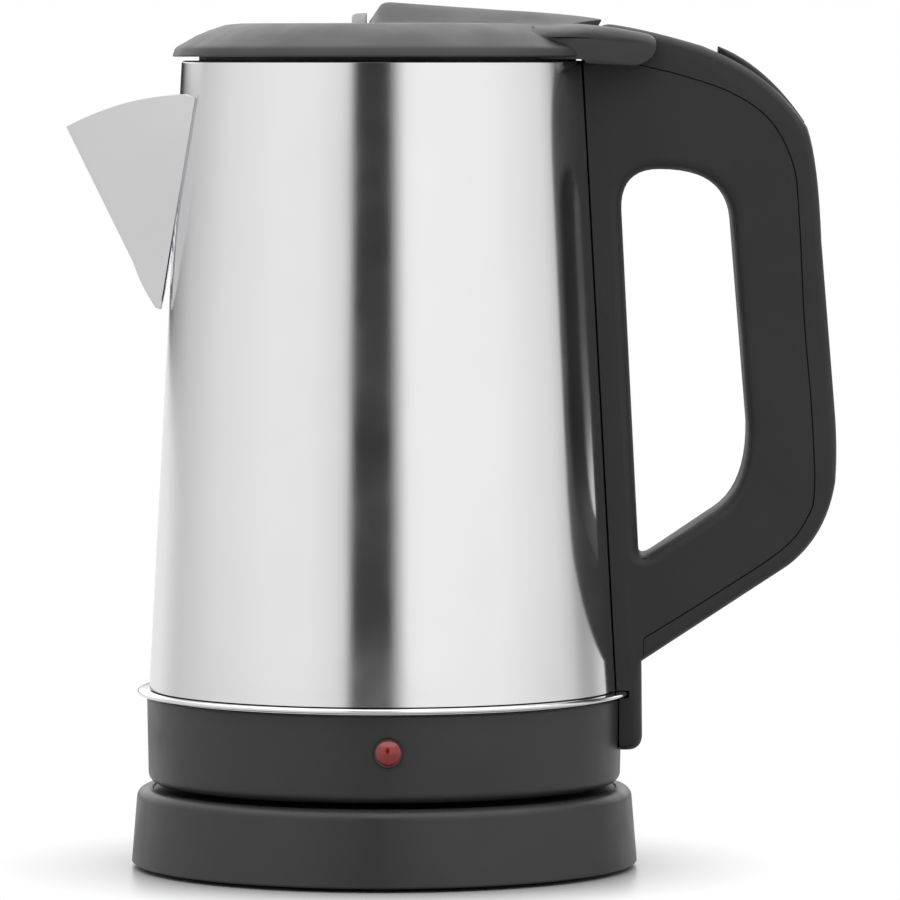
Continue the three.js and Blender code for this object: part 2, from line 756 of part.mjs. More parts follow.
function fingerOpening() {
  const shape = new THREE.Path();
  const curve = (a, b) => shape.quadraticCurveTo(a.x, a.y, b.x, b.y);
  const line = (p) => shape.lineTo(p.x, p.y);
  const start = fromMouth(10, -42.7);
  shape.moveTo(start.x, start.y);
  curve(fromMouth(9.8, -31.3), fromMouth(20.9, -31.3));
  curve(fromMouth(39.9, -31.3), fromMouth(41.8, -45.7));
  line(fromFoot(36.9, 77.2));
  curve(fromFoot(37.3, 58.7), fromFoot(27.7, 52.2));
  line(fromFoot(9.2, 39.8));
  curve(fromFoot(5.3, 37.2), fromFoot(5.3, 41.7));
  line(start);
  return shape;
}

// The seam between the inner grip shell and the outer cover, from the lid to the rail's foot.
function seamPoints() {
  const spline = new THREE.SplineCurve([
    fromMouth(15.3, -1.5),
    fromMouth(27.8, -4.6),
    fromMouth(41.7, -9.5),
    fromMouth(52.6, -17.3),
    fromMouth(59.1, -29.6),
    fromMouth(60.9, -44),
    fromMouth(62.6, -76.3),
    fromFoot(55.5, 82.7),
    fromFoot(56, 58.9),
    fromFoot(53.8, 50),
    fromFoot(46.4, 40.8),
    fromFoot(27.1, 27.9),
    fromFoot(6.7, 15.2),
  ]);
  return spline.getPoints(36);
}

// Everything on the body's side of the seam.
function insideSeam(grow) {
  const seam = shifted(seamPoints(), grow);
  const first = seam[0];
  const last = seam.at(-1);
  const left = bodyMouthRadius - 40;
  const points = [
    [left, bodyTopZ - fitGap + grow],
    [first.x, first.y],
    ...seam.slice(1, -1).map((p) => [p.x, p.y]),
    [last.x, last.y],
    [last.x, collarBottomZ - 10],
    [left, collarBottomZ - 10],
  ];
  return slab(outline(points), handleWidth + 20);
}

// The handle before it is split along its seam.
function handleBlank() {
  const shape = handleOutline();
  shape.holes.push(fingerOpening());
  const blank = slab(shape, handleWidth, { edge: handleEdge, curveSegments: 8 });
  const collar = post(collarRadius + fitGap, 0, collarTopZ + fitGap, 0, 0, roundSegments);
  const bead = post(beadRadius + fitGap, collarTopZ, bodyBottomZ, 0, 0, roundSegments);
  return cut(blank, bodyCone(fitGap), collar, bead, handleCavity(), pinHole());
}

function handleCavity() {
  const outer = shiftedLoop(handleOutline().getPoints(8), handleWall);
  const opening = shiftedLoop(fingerOpening().getPoints(8), handleWall);
  const width = handleWidth - 2 * handleWall;
  const loop = cut(slab(outline(outer), width), slab(outline(opening), width + 2));
  const grip = block(hinge.x + 7, hinge.x + 80, -width, width, collarBottomZ, bodyTopZ + 20);
  const steamWay = rodX(steamHole.radius, bodyMouthRadius - 6, hinge.x + 12, steamHole.z, 12);
  const bolt = rodX(screwShank + fitGap, bodyMouthRadius - 6, hinge.x - 4, upperScrewZ, 10);
  const lowerBolt = rodX(screwShank + fitGap, collarRadius - 8, collarRadius + 4, lowerScrewZ, 10);
  const springPocket = block(hinge.x - 4, hinge.x + 4, -6.5, 6.5, hinge.z - 3.6, hinge.z + 3.6);
  const legWay = block(hinge.x, hinge.x + 12, -6.5, 6.5, hinge.z - 3.6, hinge.z);
  return joined(loop.intersect(grip), steamWay, bolt, lowerBolt, springPocket, legWay);
}

const pinHole = () => rodY(pinRadius + fitGap, -handleWidth, handleWidth, hinge.x, hinge.z);

// Outline of the rocker switch, from its raised front end to its rear end.
function rockerOutline(grow = 0) {
  const shape = new THREE.Shape();
  const at = (dx, dz) => fromMouth(dx, dz);
  const front = at(38.2 - grow, 4.1 + grow);
  const crest = at(52, -1.4 + grow);
  const rear = at(63 + grow, -17.7 + grow);
  const rearFoot = at(59.6 + grow, -20.9 - grow);
  const frontFoot = at(38 - grow, -1.6 - grow);
  shape.moveTo(front.x, front.y);
  shape.quadraticCurveTo(crest.x, crest.y, rear.x, rear.y);
  shape.lineTo(rearFoot.x, rearFoot.y);
  shape.quadraticCurveTo(at(50, -10 - grow).x, at(50, -10 - grow).y, frontFoot.x, frontFoot.y);
  return shape;
}

function switchRocker() {
  const cap = slab(rockerOutline(), 2 * rocker.halfWidth, { edge: 0.8 });
  const boss = rodY(3.2, -4, 4, rocker.x, rocker.z);
  const leg = block(rocker.x - 5, rocker.x - 2.5, -2, 2, rocker.z - 8, rocker.z + 2);
  const bore = rodY(1.2 + fitGap, -20, 20, rocker.x, rocker.z);
  return cut(joined(cap, boss, leg), bore);
}

// Room for the rocker at rest, halfway and fully tilted.
function rockerSlot() {
  const room = slab(rockerOutline(rockerGap), 2 * (rocker.halfWidth + runGap));
  const tilted = [rockerTilt / 2, rockerTilt].map((degrees) =>
    room
      .translate([-rocker.x, 0, -rocker.z])
      .rotate([0, -degrees, 0])
      .translate([rocker.x, 0, rocker.z]),
  );
  return joined(room, ...tilted);
}

function handleCover(blank) {
  const slot = rockerSlot();
  const bearing = rodY(1.2 + fitGap, -handleWidth / 2 + 1, handleWidth / 2 - 1, rocker.x, rocker.z);
  return cut(blank, insideSeam(fitGap), slot, bearing);
}

function steamSwitchBody() {
  const x = bodyMouthRadius + 28;
  const z = bodyTopZ - 20.5;
  const body = block(x, x + 17, -8, 8, z - 6, z + 6);
  const bimetalPocket = rodX(7.5, x - 1, x + 1.2, z, 20);
  return cut(body, bimetalPocket.intersect(block(x - 1, x + 1.2, -8, 8, z - 6, z + 6)));
}

function steamBimetal() {
  const x = bodyMouthRadius + 26.6;
  return rodX(6.5, x, x + 0.6, bodyTopZ - 20.5, 20);
}

// A bolt that lies along X, with its head on the kettle's side.
function sideBolt(x, z, length) {
  const head = rodX(screwHead.radius, x, x + screwHead.height, z, 12);
  return joined(head, rodX(screwShank, x + 0.5, x + length, z, 10));
}

function addHandle() {
  const blank = handleBlank();
  add('handle_grip_shell', blank.intersect(insideSeam(0)), 'blackPlastic');
  add('handle_cover', handleCover(blank), 'blackPlastic');
  const upperHead = bodyRadiusAt(upperScrewZ) - sheet - 2 * fitGap - screwHead.height;
  add('handle_upper_screw', sideBolt(upperHead, upperScrewZ, 9), 'steel');
  const lowerHead = collarRadius - wall - 0.9 - screwHead.height;
  add('handle_lower_screw', sideBolt(lowerHead, lowerScrewZ, 7), 'steel');
  add('steam_switch', steamSwitchBody(), 'innerPlastic');
  add('steam_bimetal', steamBimetal(), 'steel');
  add('rocker_pin', rodY(1.2, -11.6, 11.6, rocker.x, rocker.z), 'steel');
  add('switch_rocker', switchRocker(), 'glossPlastic');
  add('lid_hinge_pin', rodY(pinRadius, -pinHalf, pinHalf, hinge.x, hinge.z), 'steel');
  const spring = coil(2.6, 0.45, 5, -5.5, 5.5).rotate([90, 0, 0]);
  add('lid_spring', spring.translate([hinge.x, 0, hinge.z]), 'steel');
}

// ---------------------------------------------------------------- lid

const panRadius = bodyMouthRadius - 5;
const panZ = bodyTopZ - 6.7;
const panWall = 1.6;
const panFloorTopZ = panZ + 2;
const boltZ = bodyTopZ - 3.5;
const boltHeight = 2;
const buttonX = [-9.3, -5];
const buttonHalf = 6;
const lidScrewAngles = [50, 130, 230, 310];
const lidScrewCircle = 0.68 * bodyMouthRadius;
const lidScrewLength = 7;
const springPlaces = [-9.7, 9.7];
const humpTopWidth = handleWidth - 6;
const humpEndX = hinge.x - 11;


function humpOutline(inset = 0) {
  const front = -4.4 + 1.5 * inset;
  const top = crownZ + humpHeight - inset;
  const rear = humpEndX;
  const shape = new THREE.Shape();
  shape.moveTo(front, crownZ - 1.2 - inset * 2);
  shape.lineTo(front, crownZ);
  shape.lineTo(front + 3.4, top - 0.6);
  shape.quadraticCurveTo(front + 4.2, top, front + 6.4, top - 0.1);
  shape.lineTo(front + 38, top - 2.3);
  shape.quadraticCurveTo(front + 58, top - 3.4, rear, top - 5);
  shape.lineTo(rear, lidZ - inset * 3);
  shape.lineTo(panRadius + 1, lidZ - inset * 3);
  shape.lineTo(panRadius + 1, crownZ - 3.2 - inset * 2);
  return shape;
}

// One of the two arms that carry the lid on the hinge pin. The pin's hole stops short of its outer
// face.
function hingeArm(side) {
  const at = (dx, dz) => new THREE.Vector2(hinge.x + dx, hinge.z + dz);
  const shape = new THREE.Shape();
  const line = (p) => shape.lineTo(p.x, p.y);
  const curve = (a, b) => shape.quadraticCurveTo(a.x, a.y, b.x, b.y);
  shape.moveTo(panRadius + 1, lidZ + 4);
  line(new THREE.Vector2(panRadius + 1, lidZ + 0.2));
  line(new THREE.Vector2(bodyMouthRadius - 0.5, lidZ));
  line(at(-12.5, -3.3));
  line(at(-0.7, -armRadius + 0.4));
  curve(at(armRadius, -3.6), at(armRadius, 1));
  curve(at(armRadius, 3.4), at(2, 4.4));
  curve(at(-8, 6.4), at(-27, crownZ - hinge.z - 0.5));
  const arm = slab(shape, armWidth, { edge: 0.8, y: side * armMiddle });
  return cut(arm, rodY(pinRadius + fitGap, -pinHalf - fitGap, pinHalf + fitGap, hinge.x, hinge.z));
}

// The hump's sides slope down to the dome.
function lidHump() {
  const above = block(-lidRadius, lidRadius + 5, -30, 30, crownZ - 3, crownZ + 2 * humpHeight);
  const spine = slab(humpOutline(), humpTopWidth, { edge: 0.8 });
  const flank = block(0, humpEndX - 17, -22, 22, crownZ - 2.6, crownZ - 0.4);
  const sloped = wasm.Manifold.hull([spine.intersect(above), flank]);
  return joined(slab(humpOutline(), humpTopWidth), sloped);
}

function lidDome() {
  return turned([
    [0, crownZ - lidWall],
    [lidRadius - 20, crownZ - lidWall - 0.1],
    [lidRadius - 16, crownZ - lidWall - 0.6],
    [lidRadius - 9, crownZ - lidWall - 3],
    [lidRadius - 3.4, lidZ + 1.8],
    [lidRadius - lidWall - 0.4, lidZ],
    [lidRadius, lidZ],
    [lidRadius - 0.6, lidZ + 2.2],
    [lidRadius - 1.9, lidZ + 3.3],
    [lidRadius - 6.9, crownZ - 3.6],
    [lidRadius - 10.5, crownZ - 2.1],
    [lidRadius - 15.2, crownZ - 0.5],
    [lidRadius - 19.4, crownZ - 0.1],
    [0, crownZ],
  ]);
}

function lidCover() {
  const humpHollow = slab(humpOutline(lidWall), humpTopWidth - 2 * lidWall);
  const half = handleWidth / 2 + armGap;
  const tongueRoom = rodY(tongueRadius + fitGap, -half, half, hinge.x, hinge.z, 32);
  const bosses = lidScrewAngles.map((degrees) => {
    const [x, y] = polar(lidScrewCircle, degrees);
    const tall = post(3.4, panFloorTopZ + fitGap, crownZ - lidWall + 0.5, x, y);
    return cut(tall, screwHole(x, y, panZ - 0.3, lidScrewLength));
  });
  const [x0, x1] = buttonX;
  const wayHalf = buttonHalf + runGap;
  const buttonWay = block(x0 - runGap, x1 + runGap, -wayHalf, wayHalf, crownZ - 6, crownZ + 10);
  const hollow = cut(humpHollow, tongueRoom);
  const whole = joined(lidDome(), lidHump(), ...[-1, 1].map(hingeArm));
  return joined(cut(whole, hollow, tongueRoom, buttonWay), ...bosses);
}

function lidInnerPan() {
  const topZ = lidZ + 2.8;
  const pan = turned([
    [0, panZ],
    [panRadius - 1, panZ],
    [panRadius, panZ + 1],
    [panRadius, topZ],
    [panRadius - panWall, topZ],
    [panRadius - panWall, panFloorTopZ],
    [0, panFloorTopZ],
  ]);
  const wayTopZ = boltZ + boltHeight + runGap;
  const boltWay = block(-panRadius - 4, -panRadius + 4, -4.2, 4.2, boltZ - runGap, wayTopZ);
  const holes = lidScrewAngles.map((degrees) =>
    screwHole(...polar(lidScrewCircle, degrees), panZ - 0.3, lidScrewLength));
  return cut(pan, boltWay, ...holes);
}

function lidSeal() {
  const inner = panRadius + fitGap;
  const lip = bodyMouthRadius - rimLip - runGap;
  return turned([
    [inner, panZ + 0.6],
    [lip - 0.7, panZ + 0.6],
    [lip, panZ + 1.5],
    [lip - 0.7, panZ + 2.4],
    [inner, panZ + 2.4],
  ]);
}

const wedgeTipZ = boltZ + boltHeight + buttonTravel + fitGap; // clear of the bolt when pressed

function releaseButton() {
  const capTop = crownZ + 3.3;
  const shape = new THREE.Shape();
  shape.moveTo(buttonX[0], wedgeTipZ);
  shape.lineTo(buttonX[1], wedgeTipZ + (buttonX[1] - buttonX[0]));
  shape.lineTo(buttonX[1], capTop);
  shape.lineTo(buttonX[0] + 1, capTop - 0.2);
  shape.quadraticCurveTo(buttonX[0], capTop - 0.4, buttonX[0], capTop - 1.6);
  const stem = slab(shape, 2 * buttonHalf);
  const flangeZ = crownZ - lidWall - fitGap;
  const flange = block(buttonX[0] - 1.6, buttonX[1] + 1.6, -12, 12, flangeZ - 1.4, flangeZ);
  return joined(stem, flange);
}

// The button's wedge pushes on the bolt's slope, and the slope stays below the pressed flange.
function latchBolt() {
  const nose = -(bodyMouthRadius - rimLip - runGap);
  const tipX = buttonX[0] + runGap;
  const endX = buttonX[1] + 4;
  const boltTopZ = boltZ + boltHeight;
  const slopeTopZ = crownZ - lidWall - fitGap - 1.4 - buttonTravel - runGap;
  const bar = block(nose, endX, -3.5, 3.5, boltZ, boltTopZ);
  const shape = new THREE.Shape();
  shape.moveTo(tipX + boltTopZ - wedgeTipZ, boltZ);
  shape.lineTo(tipX + boltTopZ - wedgeTipZ, boltTopZ);
  shape.lineTo(tipX + slopeTopZ - wedgeTipZ, slopeTopZ);
  shape.lineTo(endX, slopeTopZ);
  shape.lineTo(endX, boltZ);
  return joined(bar, slab(shape, 7));
}

function addLid() {
  add('lid_cover', lidCover(), 'blackPlastic');
  add('lid_inner_pan', lidInnerPan(), 'innerPlastic');
  add('lid_seal', lidSeal(), 'seal');
  lidScrewAngles.forEach((degrees, i) => {
    const [x, y] = polar(lidScrewCircle, degrees);
    add(`lid_screw_${i + 1}`, screw(x, y, panZ - 0.3, lidScrewLength), 'steel');
  });
  add('lid_release_button', releaseButton(), 'chrome');
  add('lid_latch_bolt', latchBolt(), 'innerPlastic');
  const floorZ = panFloorTopZ + fitGap;
  const springTopZ = crownZ - lidWall - 2 * fitGap - 1.4;
  springPlaces.forEach((y, i) => {
    const spring = coil(1.9, 0.35, 5, floorZ, springTopZ, (buttonX[0] + buttonX[1]) / 2, y);
    add(`button_spring_${i + 1}`, spring, 'steel');
  });
}

addPowerBase();
addConnector();
addUnderside();
addHeater();
addBody();
addHandle();
addLid();

export default kettle;
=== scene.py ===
"""An electric kettle on its power base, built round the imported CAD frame.

Blender units are metres. Shapes that belong to the moulds are drawn in millimetres from the
frame's own edges, and MM turns them into metres.
"""

import json
import math

import bmesh
import bpy
from mathutils import Matrix, Vector
from mathutils.kdtree import KDTree


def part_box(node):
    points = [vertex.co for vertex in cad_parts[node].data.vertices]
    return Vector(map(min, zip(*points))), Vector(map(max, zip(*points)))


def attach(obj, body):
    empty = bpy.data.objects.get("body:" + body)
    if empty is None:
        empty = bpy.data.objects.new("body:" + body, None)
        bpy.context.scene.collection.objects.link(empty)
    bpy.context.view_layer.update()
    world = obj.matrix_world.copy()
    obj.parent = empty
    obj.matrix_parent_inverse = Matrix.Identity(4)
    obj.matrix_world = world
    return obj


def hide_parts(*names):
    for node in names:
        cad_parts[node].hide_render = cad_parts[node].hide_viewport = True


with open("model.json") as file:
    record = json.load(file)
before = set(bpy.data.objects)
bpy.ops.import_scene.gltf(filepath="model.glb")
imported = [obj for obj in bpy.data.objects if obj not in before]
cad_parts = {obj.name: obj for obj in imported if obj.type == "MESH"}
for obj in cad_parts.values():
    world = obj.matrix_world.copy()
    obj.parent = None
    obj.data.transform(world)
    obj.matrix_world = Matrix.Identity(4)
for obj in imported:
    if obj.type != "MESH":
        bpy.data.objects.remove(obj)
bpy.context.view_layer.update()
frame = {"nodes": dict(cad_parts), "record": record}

MM = 0.001
TAU = 2 * math.pi

# ------------------------------------------------------------------ sizes read from the frame, mm

def box_mm(node):
    """The low and high corners of a node's box, in mm."""
    low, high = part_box(node)
    return low / MM, high / MM


BASE_HIGH = box_mm("base_shell")[1]
COLLAR_LOW, COLLAR_HIGH = box_mm("collar_housing")
BEAD_LOW, BEAD_HIGH = box_mm("trim_bead")
BODY_LOW, BODY_HIGH = box_mm("body_shell")
LID_LOW = box_mm("lid_cover")[0]
GRIP_LOW, GRIP_HIGH = box_mm("handle_grip_shell")
PIN_LOW, PIN_HIGH = box_mm("lid_hinge_pin")
ROCKER_PIN = sum(box_mm("rocker_pin"), Vector()) / 2
BUTTON_LOW, BUTTON_HIGH = box_mm("lid_release_button")
ROCKER_LOW, ROCKER_HIGH = box_mm("switch_rocker")
BEZEL_LOW, BEZEL_HIGH = box_mm("indicator_bezel")
FLOOR_Z = box_mm("base_foot_1")[0].z

BASE_R = BASE_HIGH.x
COLLAR_R = COLLAR_HIGH.x
BEAD_R = BEAD_HIGH.x
FOOT_R = BODY_HIGH.x
LID_R = -LID_LOW.x
MOUTH_R = LID_R - 2.6
FOOT_Z = BODY_LOW.z
MOUTH_Z = BODY_HIGH.z
LID_Z = MOUTH_Z + 1.1
CROWN_Z = LID_Z + 9.7
HINGE_X = (PIN_LOW.x + PIN_HIGH.x) / 2
HINGE_Z = (PIN_LOW.z + PIN_HIGH.z) / 2
HANDLE_HALF = GRIP_HIGH.y
ROCKER_HALF = (ROCKER_HIGH.y - ROCKER_LOW.y) / 2
LAMP = (BEZEL_LOW + BEZEL_HIGH) / 2

# ------------------------------------------------------------------ sizes chosen here, mm

GAP = 0.3  # clearance between pieces
SHEET = 0.8  # the body's and the spout's steel
RIM_LIP = 2.2  # how far the body's rolled edge turns in
TONGUE_R = 13.2  # the handle's round end between the hinge arms
BEZEL_LIP = 0.45  # how far the lamp's bezel reaches past the hole in the collar
ROUND_STEPS = 144

# The strainer behind the spout: holes at one pitch, in rows that start below the mouth.
STRAINER_ROWS = 8
STRAINER_PITCH = 5
STRAINER_DROP = 17
STRAINER_MARGIN = 4
STRAINER_HOLE = 1.5

# Radius and drop below the mouth of the steam hole and of the handle's upper screw hole.
REAR_HOLES = [(4, 12), (1.6, 24)]

# Height below the mouth and half-width of the spout where it meets the body.
SPOUT_WIDTHS = [(-72, 1.2), (-60, 6.5), (-46, 13.0), (-33, 18.6), (-21, 22.6), (-9.7, 25.2)]
SPOUT_ROWS = 24
SPOUT_STEPS = 22

# The seam between the grip and its outer cover: from the mouth (1) or from the body's foot (0).
SEAM = [
    (1, 15.3, -1.5), (1, 27.8, -4.6), (1, 41.7, -9.5), (1, 52.6, -17.3), (1, 59.1, -29.6),
    (1, 60.9, -44), (1, 62.6, -76.3), (0, 54.9, 82.7), (0, 55.9, 58.9), (0, 53.8, 50),
    (0, 46.4, 40.8), (0, 27.1, 27.9), (0, 6.7, 15.2),
]

# The gap at the seam, the lip behind it, and the room and the angles that the rocker swings in.
SEAM_GAP = 0.35
SEAM_LIP = 0.3
LIP_INSET = 1.4
ROCKER_ROOM = 0.8
ROCKER_SIDE_ROOM = 0.5
ROCKER_SWING = (0, 4, 8)

# The hinge arms, one on each side of the tongue, the lug between them and the button's room.
ARM_GAP = 0.4
ARM_WIDTH = 5
ARM_SPREAD = 12
PIN_HOLE = 1.7
LUG_FRONT = 52
LUG_REAR = 55.5
LUG_HALF = 9
BUTTON_FRONT = -9.3
BUTTON_REAR = -5.0
BUTTON_HALF = 6
BUTTON_GAP = 0.35
FLANGE_HALF = 12
FLANGE_EDGE = 1.6
FLANGE_THICK = 1.4


def at(x, z):
    """A point of a side outline, in the XZ plane."""
    return Vector((x, 0, z))


def from_mouth(dx, dz):
    return at(MOUTH_R + dx, MOUTH_Z + dz)


def from_foot(dx, dz):
    return at(FOOT_R + dx, FOOT_Z + dz)


def from_pin(dx, dz):
    return at(HINGE_X + dx, HINGE_Z + dz)


def body_radius(z):
    """Outside radius of the steel cone at a height."""
    return FOOT_R + (MOUTH_R - FOOT_R) * (z - FOOT_Z) / (MOUTH_Z - FOOT_Z)


# ------------------------------------------------------------------ drawing helpers

def arc(x, z, radius, start, end, steps=6):
    """Points on an arc in the XZ plane, from one angle to the other, in degrees."""
    angles = [math.radians(start + (end - start) * i / steps) for i in range(steps + 1)]
    return [at(x + radius * math.cos(a), z + radius * math.sin(a)) for a in angles]


def bow(a, control, b, steps=8):
    """Points of a curve from a, without a itself, drawn towards the control point and ending at b."""
    ts = [i / steps for i in range(1, steps + 1)]
    return [a * (1 - t) ** 2 + control * 2 * t * (1 - t) + b * t ** 2 for t in ts]


def straight(a, b, steps):
    return [a.lerp(b, i / steps) for i in range(1, steps + 1)]


def moved_left(before, point, after, distance):
    """A point moved sideways, to the left of the way from the point before to the one after."""
    along = (after - before).normalized()
    return point + at(-along.z, along.x) * distance


def offset_loop(points, distance):
    """An anticlockwise outline in the XZ plane with each point moved inwards."""
    after = points[1:] + points[:1]
    before = points[-1:] + points[:-1]
    return [moved_left(a, point, b, distance) for a, point, b in zip(before, points, after)]


def widened(outline, y):
    """The outline at a place along Y."""
    return [point + Vector((0, y, 0)) for point in outline]


def only(obj):
    """obj alone is selected and active."""
    bpy.ops.object.select_all(action="DESELECT")
    obj.select_set(True)
    bpy.context.view_layer.objects.active = obj


def drawn(name, points, face=True):
    """A new object whose edge chain is drawn point by point, in mm, and filled when face is set."""
    bpy.ops.object.select_all(action="DESELECT")
    bpy.ops.mesh.primitive_plane_add(size=MM)
    obj = bpy.context.object
    obj.name = name
    obj.data.name = name
    bpy.ops.object.mode_set(mode="EDIT")
    bpy.ops.mesh.select_mode(type="VERT")
    bpy.ops.mesh.merge(type="CENTER")
    bpy.ops.transform.translate(value=points[0] * MM)
    for a, b in zip(points, points[1:]):
        bpy.ops.mesh.extrude_region_move(TRANSFORM_OT_translate={"value": (b - a) * MM})
    bpy.ops.mesh.select_all(action="SELECT")
    if face:
        bpy.ops.mesh.edge_face_add()
    return obj


def closed(obj, angle=35):
    """Ends the edit: merges doubles, turns the faces out and shades the piece smooth."""
    bpy.ops.mesh.select_all(action="SELECT")
    bpy.ops.mesh.remove_doubles(threshold=0.002 * MM)
    bpy.ops.mesh.normals_make_consistent(inside=False)
    bpy.ops.mesh.select_all(action="DESELECT")
    bpy.ops.object.mode_set(mode="OBJECT")
    smooth(obj, angle)
    return obj


def smooth(obj, angle=35):
    only(obj)
    bpy.ops.object.shade_smooth_by_angle(angle=math.radians(angle))


def turned(name, profile, steps=ROUND_STEPS, angle=35):
    """A profile of (radius, height) pairs, in mm, spun about the Z axis."""
    points = [Vector((r, 0, z)) for r, z in profile]
    if profile[0][0] > 0 or profile[-1][0] > 0:
        points.append(points[0])
    obj = drawn(name, points, face=False)
    bpy.ops.mesh.spin(steps=steps, angle=TAU, center=(0, 0, 0), axis=(0, 0, 1))
    return closed(obj, angle)


def pairs(points):
    return [(p.x, p.z) for p in points]


def extrude_to(obj, last, section):
    """Extrudes the selected section and moves each of its points to its place in the next one."""
    bpy.ops.mesh.extrude_region_move(TRANSFORM_OT_translate={"value": (0, 0, 0)})
    mesh = bmesh.from_edit_mesh(obj.data)
    near = KDTree(len(last))
    for i, point in enumerate(last):
        near.insert(point * MM, i)
    near.balance()
    for vert in [v for v in mesh.verts if v.select]:
        vert.co = section[near.find(vert.co)[1]] * MM
    bmesh.update_edit_mesh(obj.data)


def carried_through(name, sections, face=True):
    """The first section extruded and reshaped through the others, still in edit mode."""
    obj = drawn(name, sections[0], face)
    for last, section in zip(sections, sections[1:]):
        extrude_to(obj, last, section)
    return obj


def loft(name, sections):
    return closed(carried_through(name, sections))


def rounded_slab(name, outline, half, edge, steps, depth=None, flare=False):
    """An outline given a width along Y. Its long edges are rounded, or flared when it is a cutter.

    edge is how far the rounding reaches into the outline, depth how far it reaches along Y.
    """
    depth = depth or edge
    sign = -1 if flare else 1
    sections = []
    for side in (-1, 1):
        angles = [math.radians(90 * i / steps) for i in range(steps + 1)]
        for a in (angles if side < 0 else reversed(angles)):
            inward = edge * (1 - math.sin(a)) * sign
            y = side * (half - depth * (1 - math.cos(a)))
            sections.append(widened(offset_loop(outline, inward), y))
    return loft(name, sections)


def slab(name, outline, half):
    return loft(name, [widened(outline, y) for y in (-half, half)])


def block(name, x0, x1, z0, z1, half):
    """A plain lug, flange or cutter, in mm."""
    return slab(name, [at(x0, z0), at(x1, z0), at(x1, z1), at(x0, z1)], half)


def boolean(piece, tool, operation):
    """Joins or cuts a piece with another, which is then removed."""
    only(piece)
    modifier = piece.modifiers.new(operation.lower(), "BOOLEAN")
    modifier.object = tool
    modifier.operation = operation
    modifier.solver = "MANIFOLD"
    bpy.ops.object.modifier_apply(modifier=modifier.name)
    bpy.data.objects.remove(tool)


def copied(obj, name):
    """The same shape again, with a mesh of its own."""
    twin = obj.copy()
    twin.data = obj.data.copy()
    twin.name = name
    twin.data.name = name
    bpy.context.collection.objects.link(twin)
    return twin


def rod(name, radius, start, end, steps=32):
    """A plain cutter or pin between two points, in mm."""
    along = end - start
    bpy.ops.object.select_all(action="DESELECT")
    bpy.ops.mesh.primitive_cylinder_add(vertices=steps, radius=radius * MM, depth=along.length * MM)
    obj = bpy.context.object
    obj.name = name
    turn = along.to_track_quat("Z", "Y").to_matrix().to_4x4()
    obj.data.transform(Matrix.Translation((start + end) / 2 * MM) @ turn)
    return obj


def placed(obj, matrix):
    """Puts a turn and a move into the mesh, so that the object stays at the origin."""
    obj.data.transform(matrix)
    return obj


def facing_front(obj, x, z):
    """Lays a piece turned about Z over, so that it faces the front at the given place, in mm."""
    turn = Matrix.Rotation(math.pi / 2, 4, "X")
    return placed(obj, Matrix.Translation(at(x, z) * MM) @ turn)


def finish_piece(obj, body, slot, material, *nodes):
    """Gives a piece its body and its finish, and hides the CAD nodes that it stands for."""
    obj.data.materials.clear()
    obj.data.materials.append(material)
    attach(obj, body)
    if nodes:
        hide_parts(*nodes)
    return obj


# ------------------------------------------------------------------ shared effects, as node groups

def new_group(name, inputs, outputs):
    group = bpy.data.node_groups.new(name, "ShaderNodeTree")
    for label, kind, default in inputs:
        socket = group.interface.new_socket(label, in_out="INPUT", socket_type=kind)
        socket.default_value = default
    for label, kind in outputs:
        group.interface.new_socket(label, in_out="OUTPUT", socket_type=kind)
    start = group.nodes.new("NodeGroupInput")
    end = group.nodes.new("NodeGroupOutput")
    return group, start, end


def mapped(group, start, scale_socket, stretch=(1, 1, 1)):
    """Object coordinates, stretched and then scaled by one of the group's inputs."""
    coordinates = group.nodes.new("ShaderNodeTexCoord")
    stretching = group.nodes.new("ShaderNodeVectorMath")
    stretching.operation = "MULTIPLY"
    stretching.inputs[1].default_value = stretch
    scaling = group.nodes.new("ShaderNodeVectorMath")
    scaling.operation = "SCALE"
    group.links.new(coordinates.outputs["Object"], stretching.inputs[0])
    group.links.new(stretching.outputs[0], scaling.inputs[0])
    group.links.new(start.outputs[scale_socket], scaling.inputs["Scale"])
    return scaling.outputs[0]


def noise(group, vector, detail=3.0, roughness=0.55):
    texture = group.nodes.new("ShaderNodeTexNoise")
    texture.inputs["Scale"].default_value = 1.0
    texture.inputs["Detail"].default_value = detail
    texture.inputs["Roughness"].default_value = roughness
    group.links.new(vector, texture.inputs["Vector"])
    return texture.outputs["Fac"]


def spread(group, value, low, high):
    """A noise value, which keeps near its middle, stretched to run between two sockets."""
    stretching = group.nodes.new("ShaderNodeMapRange")
    stretching.inputs["From Min"].default_value = 0.35
    stretching.inputs["From Max"].default_value = 0.65
    group.links.new(value, stretching.inputs["Value"])
    group.links.new(low, stretching.inputs["To Min"])
    group.links.new(high, stretching.inputs["To Max"])
    return stretching.outputs["Result"]


def make_patchiness():
    """Slow unevenness of a surface: a value that runs between Low and High over the piece."""
    inputs = [
        ("Scale", "NodeSocketFloat", 60.0),
        ("Low", "NodeSocketFloat", 0.3),
        ("High", "NodeSocketFloat", 0.4),
    ]
    group, start, end = new_group("patchiness", inputs, [("Value", "NodeSocketFloat")])
    vector = mapped(group, start, "Scale")
    value = spread(group, noise(group, vector), start.outputs["Low"], start.outputs["High"])
    group.links.new(value, end.inputs["Value"])
    return group


